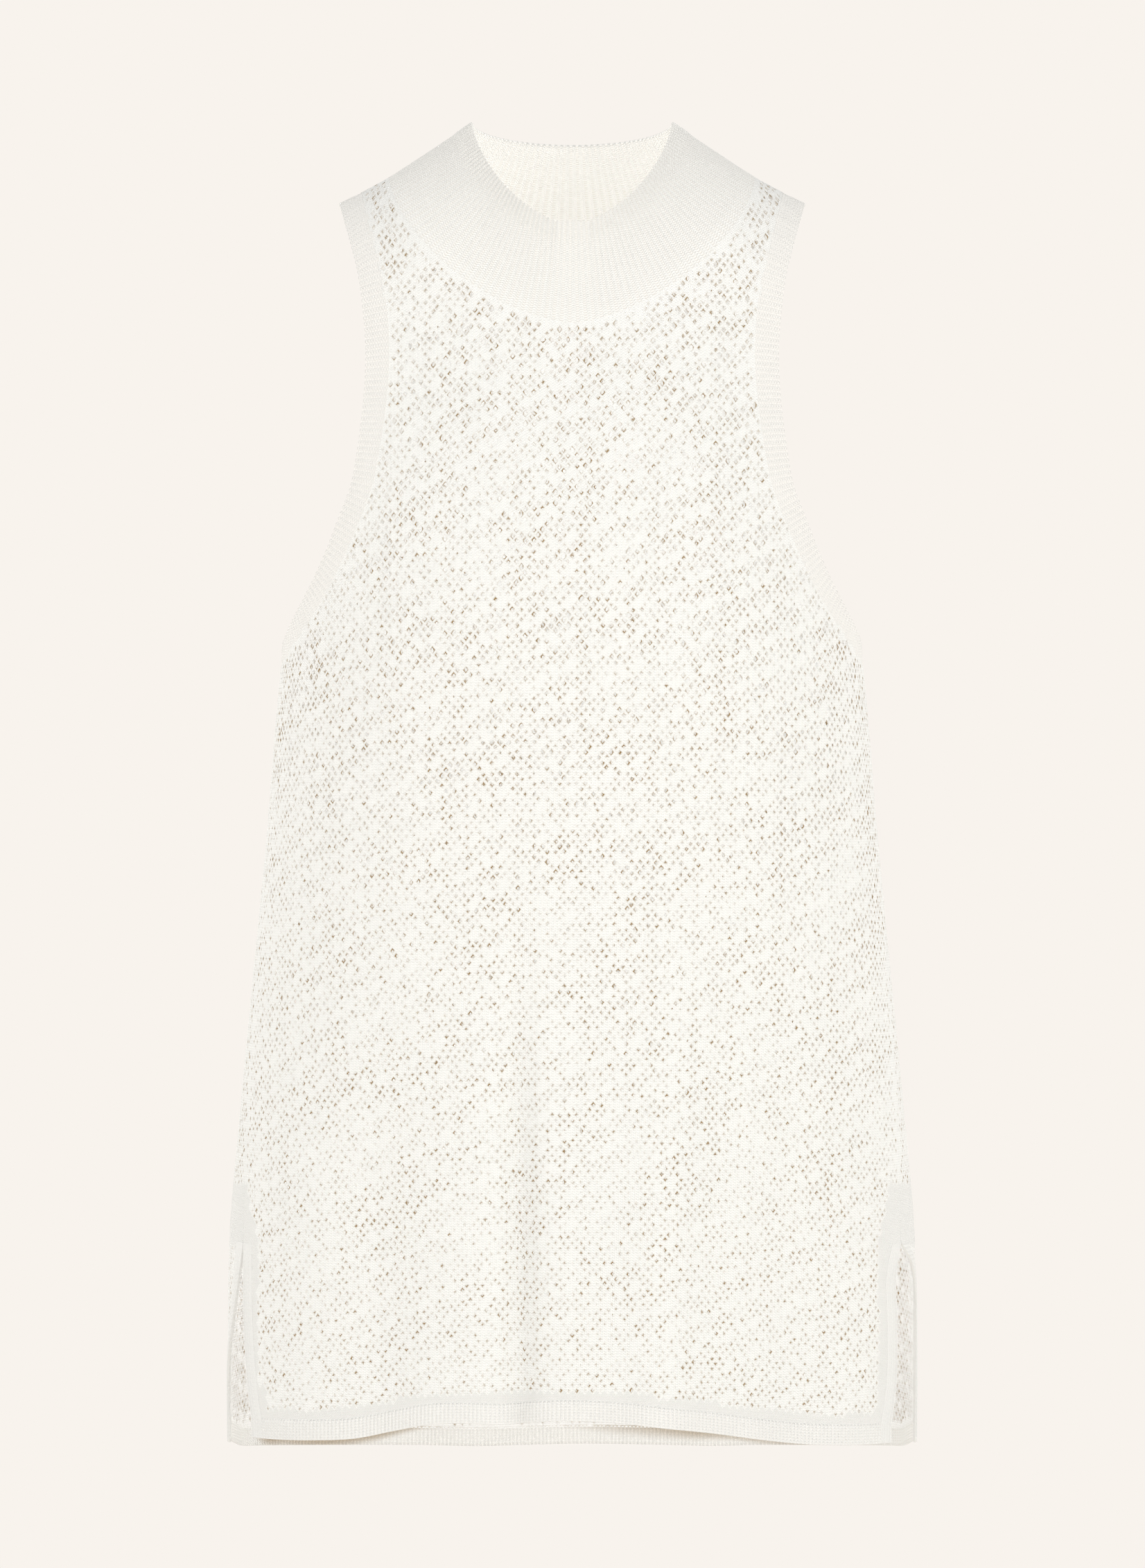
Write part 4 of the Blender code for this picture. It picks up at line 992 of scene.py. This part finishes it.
def knit(name, colour, wale_share, wales, courses, gap_shade_strength, bump, fuzz, hole_edge):
    """Yarn: a V stitch on each knit wale, which is wale_share of a rib, bars with painted shade in the gaps of each
    furrow, and fuzz.
    wales and courses multiply the yarn coordinates. A point's painted shade, deep in a hole or under the front hem,
    darkens its colour; a larger hole_edge keeps it nearer to a hole's edge."""
    material = bpy.data.materials.new(name)
    material.use_nodes = True
    tree = material.node_tree

    def maths(operation, *values):
        return add_node(tree, "Math", dict(enumerate(values)), operation=operation)[0]

    def wave(value):
        return maths("MULTIPLY_ADD", maths("COSINE", maths("MULTIPLY", value, 2 * math.pi)), 0.5, 0.5)

    def blended(factor, a, b):
        return add_node(tree, "Mix", {"A": a, "B": b, "Factor": factor}, data_type="RGBA")["Result"]

    def noise(scale, detail):
        return add_node(tree, "TexNoise", {"Scale": scale, "Detail": detail, "Vector": in_space})["Fac"]

    def bumped(height, distance, **normal):
        return add_node(tree, "Bump", {"Strength": 1.0, "Distance": distance, "Height": height, **normal})["Normal"]

    yarn = add_node(tree, "SeparateXYZ", {0: add_node(tree, "UVMap", {}, uv_map="yarn")[0]})
    in_space = add_node(tree, "TexCoord", {})["Object"]
    across = maths("FRACT", maths("MULTIPLY", yarn[0], wales))
    up = maths("MULTIPLY", yarn[1], courses)
    # arm grows from 0 at the middle of a knit wale to 1 at its sides, and more in the furrow
    arm = maths("ABSOLUTE", maths("MULTIPLY", maths("SUBTRACT", across, wale_share / 2), 2 / wale_share))
    on_wale = maths("LESS_THAN", arm, 1.0)
    strand = wave(maths("ADD", up, maths("MULTIPLY", arm, STITCH_LEAN)))
    v_stitch = maths("MULTIPLY", strand, maths("MINIMUM", maths("MULTIPLY", arm, 1 / STITCH_GROOVE), 1.0))
    bar = wave(up)
    stitches = add_node(tree, "Mix", {"Factor": on_wale, "A": bar, "B": v_stitch})["Result"]
    # painted shade in the gaps between the furrow's bars
    gap_painted_shade = maths("POWER", maths("SUBTRACT", 1.0, bar), 2.0)
    gap_painted_shade = maths("MULTIPLY", maths("MULTIPLY", gap_painted_shade, maths("SUBTRACT", 1.0, on_wale)), gap_shade_strength)
    tint = blended(noise(45.0, 4.0), (*[c * PATCH_TINT for c in colour], 1), (*colour, 1))
    dark = blended(gap_painted_shade, tint, (*PAINTED_GAP_SHADE, 1))
    # painted shade: deep in the holes, and the front hem's shadow inside the back's band
    shade_amount = maths("POWER", add_node(tree, "Attribute", {}, attribute_name="painted_shade")["Fac"], hole_edge)
    looks = {
        "Base Color": blended(shade_amount, dark, (*PAINTED_SHADE_COLOUR, 1)),
        "Normal": bumped(noise(1700.0, 2.0), fuzz, Normal=bumped(stitches, bump)),
        "Roughness": 0.95,
        "Specular IOR Level": 0.15,
        "Sheen Weight": 0.25,
        "Sheen Roughness": 0.6,
        "Sheen Tint": (*colour, 1),
    }
    set_inputs(tree, tree.nodes["Principled BSDF"], looks)
    return material


# Stage


def stage():
    """A pale floor that only takes shadows, even pale surroundings, soft lights and the camera."""
    mesh = bpy.data.meshes.new("floor")
    corners = [(x * FLOOR_REACH, y * FLOOR_REACH, FLOOR_Z) for x, y in ((-1, -1), (1, -1), (1, 1), (-1, 1))]
    mesh.from_pydata(corners, [], [(0, 1, 2, 3)])
    floor = add_object("floor", mesh)
    floor.is_shadow_catcher = True
    finish = bpy.data.materials.new("floor")
    finish.use_nodes = True
    tree = finish.node_tree
    set_inputs(tree, tree.nodes["Principled BSDF"], {"Base Color": (*BACKDROP, 1), "Roughness": 1.0})
    mesh.materials.append(finish)

    scene = bpy.context.scene
    world = scene.world = bpy.data.worlds.new("studio")
    world.use_nodes = True
    tree = world.node_tree
    light = tree.nodes["Background"]
    set_inputs(tree, light, {"Color": (*LAMP_COLOUR, 1), "Strength": WORLD_LIGHT})
    seen = add_node(tree, "Background", {"Color": (*BACKDROP, 1)})[0]
    is_seen = add_node(tree, "LightPath", {})["Is Camera Ray"]
    both = add_node(tree, "MixShader", {"Fac": is_seen, 1: light.outputs[0], 2: seen})[0]
    set_inputs(tree, tree.nodes["World Output"], {"Surface": both})

    for name, place, size, power in LAMPS:
        data = bpy.data.lights.new(name, "AREA")
        data.size, data.energy, data.color = size, power, LAMP_COLOUR
        aim = Vector(LAMP_AIM) - Vector(place)
        add_object(name, data, place).rotation_euler = aim.to_track_quat("-Z", "Y").to_euler()

    inside = [(x, height, power) for across, height, power in INSIDE_LAMPS for x in sorted({-across, across})]
    for number, (x, height, power) in enumerate(inside):
        data = bpy.data.lights.new(f"inside_{number}", "POINT")
        data.shadow_soft_size, data.energy, data.color = INSIDE_LAMP_SIZE, power, INSIDE_LIGHT
        add_object(data.name, data, (x, 0, height)).visible_camera = False

    data = bpy.data.cameras.new("camera")
    data.sensor_width = SENSOR
    data.lens = SENSOR / 2 / (FRAME_HEIGHT / 2 / CAMERA_AWAY)
    data.clip_end = 200.0
    camera = scene.camera = add_object("camera", data, (CAMERA_X, -CAMERA_AWAY, CAMERA_Z))
    camera.rotation_euler = (math.pi / 2, 0, 0)
    scene.view_settings.view_transform = "Standard"


def outline_of(inner, top_line, neck, arm, seam):
    """A panel's closed outline, as the part has it: along the hem's band, up the right, round the neck, down the
    left."""
    rise = joined(seam, backwards(arm))
    right, left = ((np.append(inner[side][0], rise[0] * side), np.append(inner[side][1], rise[1])) for side, _ in SIDES)
    parts = (top_line[0][1:-1], top_line[1][1:-1]), right, neck, backwards(left)
    return tuple(np.concatenate(values) for values in zip(*parts))


def main():
    rng = np.random.default_rng(7)
    yarns = {name: knit(f"{name}_yarn", *looks) for name, looks in YARNS.items()}

    def dress(piece, node, slot, hangs_from, *names):
        for name in names:
            piece.data.materials.append(yarns[name])
        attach(piece, "root")
        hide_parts(node)
        width, length, area = (float(size) for size in CUTS[piece.name])

    edges = armhole_edge()
    seams = armhole_seam(edges[0], True), armhole_seam(backwards(edges[1]), False)
    for is_front, place, hem, arm, ribs in (
        (True, "front", front_hem, seams[0], COLLAR_FRONT_RIBS),
        (False, "back", back_hem, seams[1], COLLAR_BACK_RIBS),
    ):
        lines = {side: slit_lines(is_front, side, hem) for side, _ in SIDES}
        inner = {side: (lines[side][-1][0][1:], lines[side][-1][1][1:]) for side, _ in SIDES}
        left, right = inner[-1][0][0], inner[1][0][0]
        top_line = hem_curve(is_front, left, right, HEM_BAND, 160)
        outline = outline_of(inner, top_line, spaced(*neck_curve(is_front), 2 * ribs), arm, side_seam())
        above = ["ribbed_collar"]
        for piece in panel_pieces(is_front, outline, rng):
            dress(piece, f"{place}_panel", "openwork", above, "openwork", "inside", "plain")
            above = [piece.name]
        piece = hem_band(f"{place}_hem_ribs", is_front, left, right)
        dress(piece, f"{place}_hem_band", "rib", above, "band")
        for side, word in SIDES:
            piece = slit_band(f"{place}_{word}_slit_ribs", is_front, lines[side])
            dress(piece, f"{place}_{word}_slit_band", "rib", above, "slit")
    dress(collar(), "collar", "rib", [], "rib")
    for side, word in SIDES:
        piece = armhole_band(f"{word}_armhole_ribs", side, edges, seams)
        dress(piece, f"{word}_armhole_band", "rib", ["ribbed_collar"], "armhole")
    stage()


main()
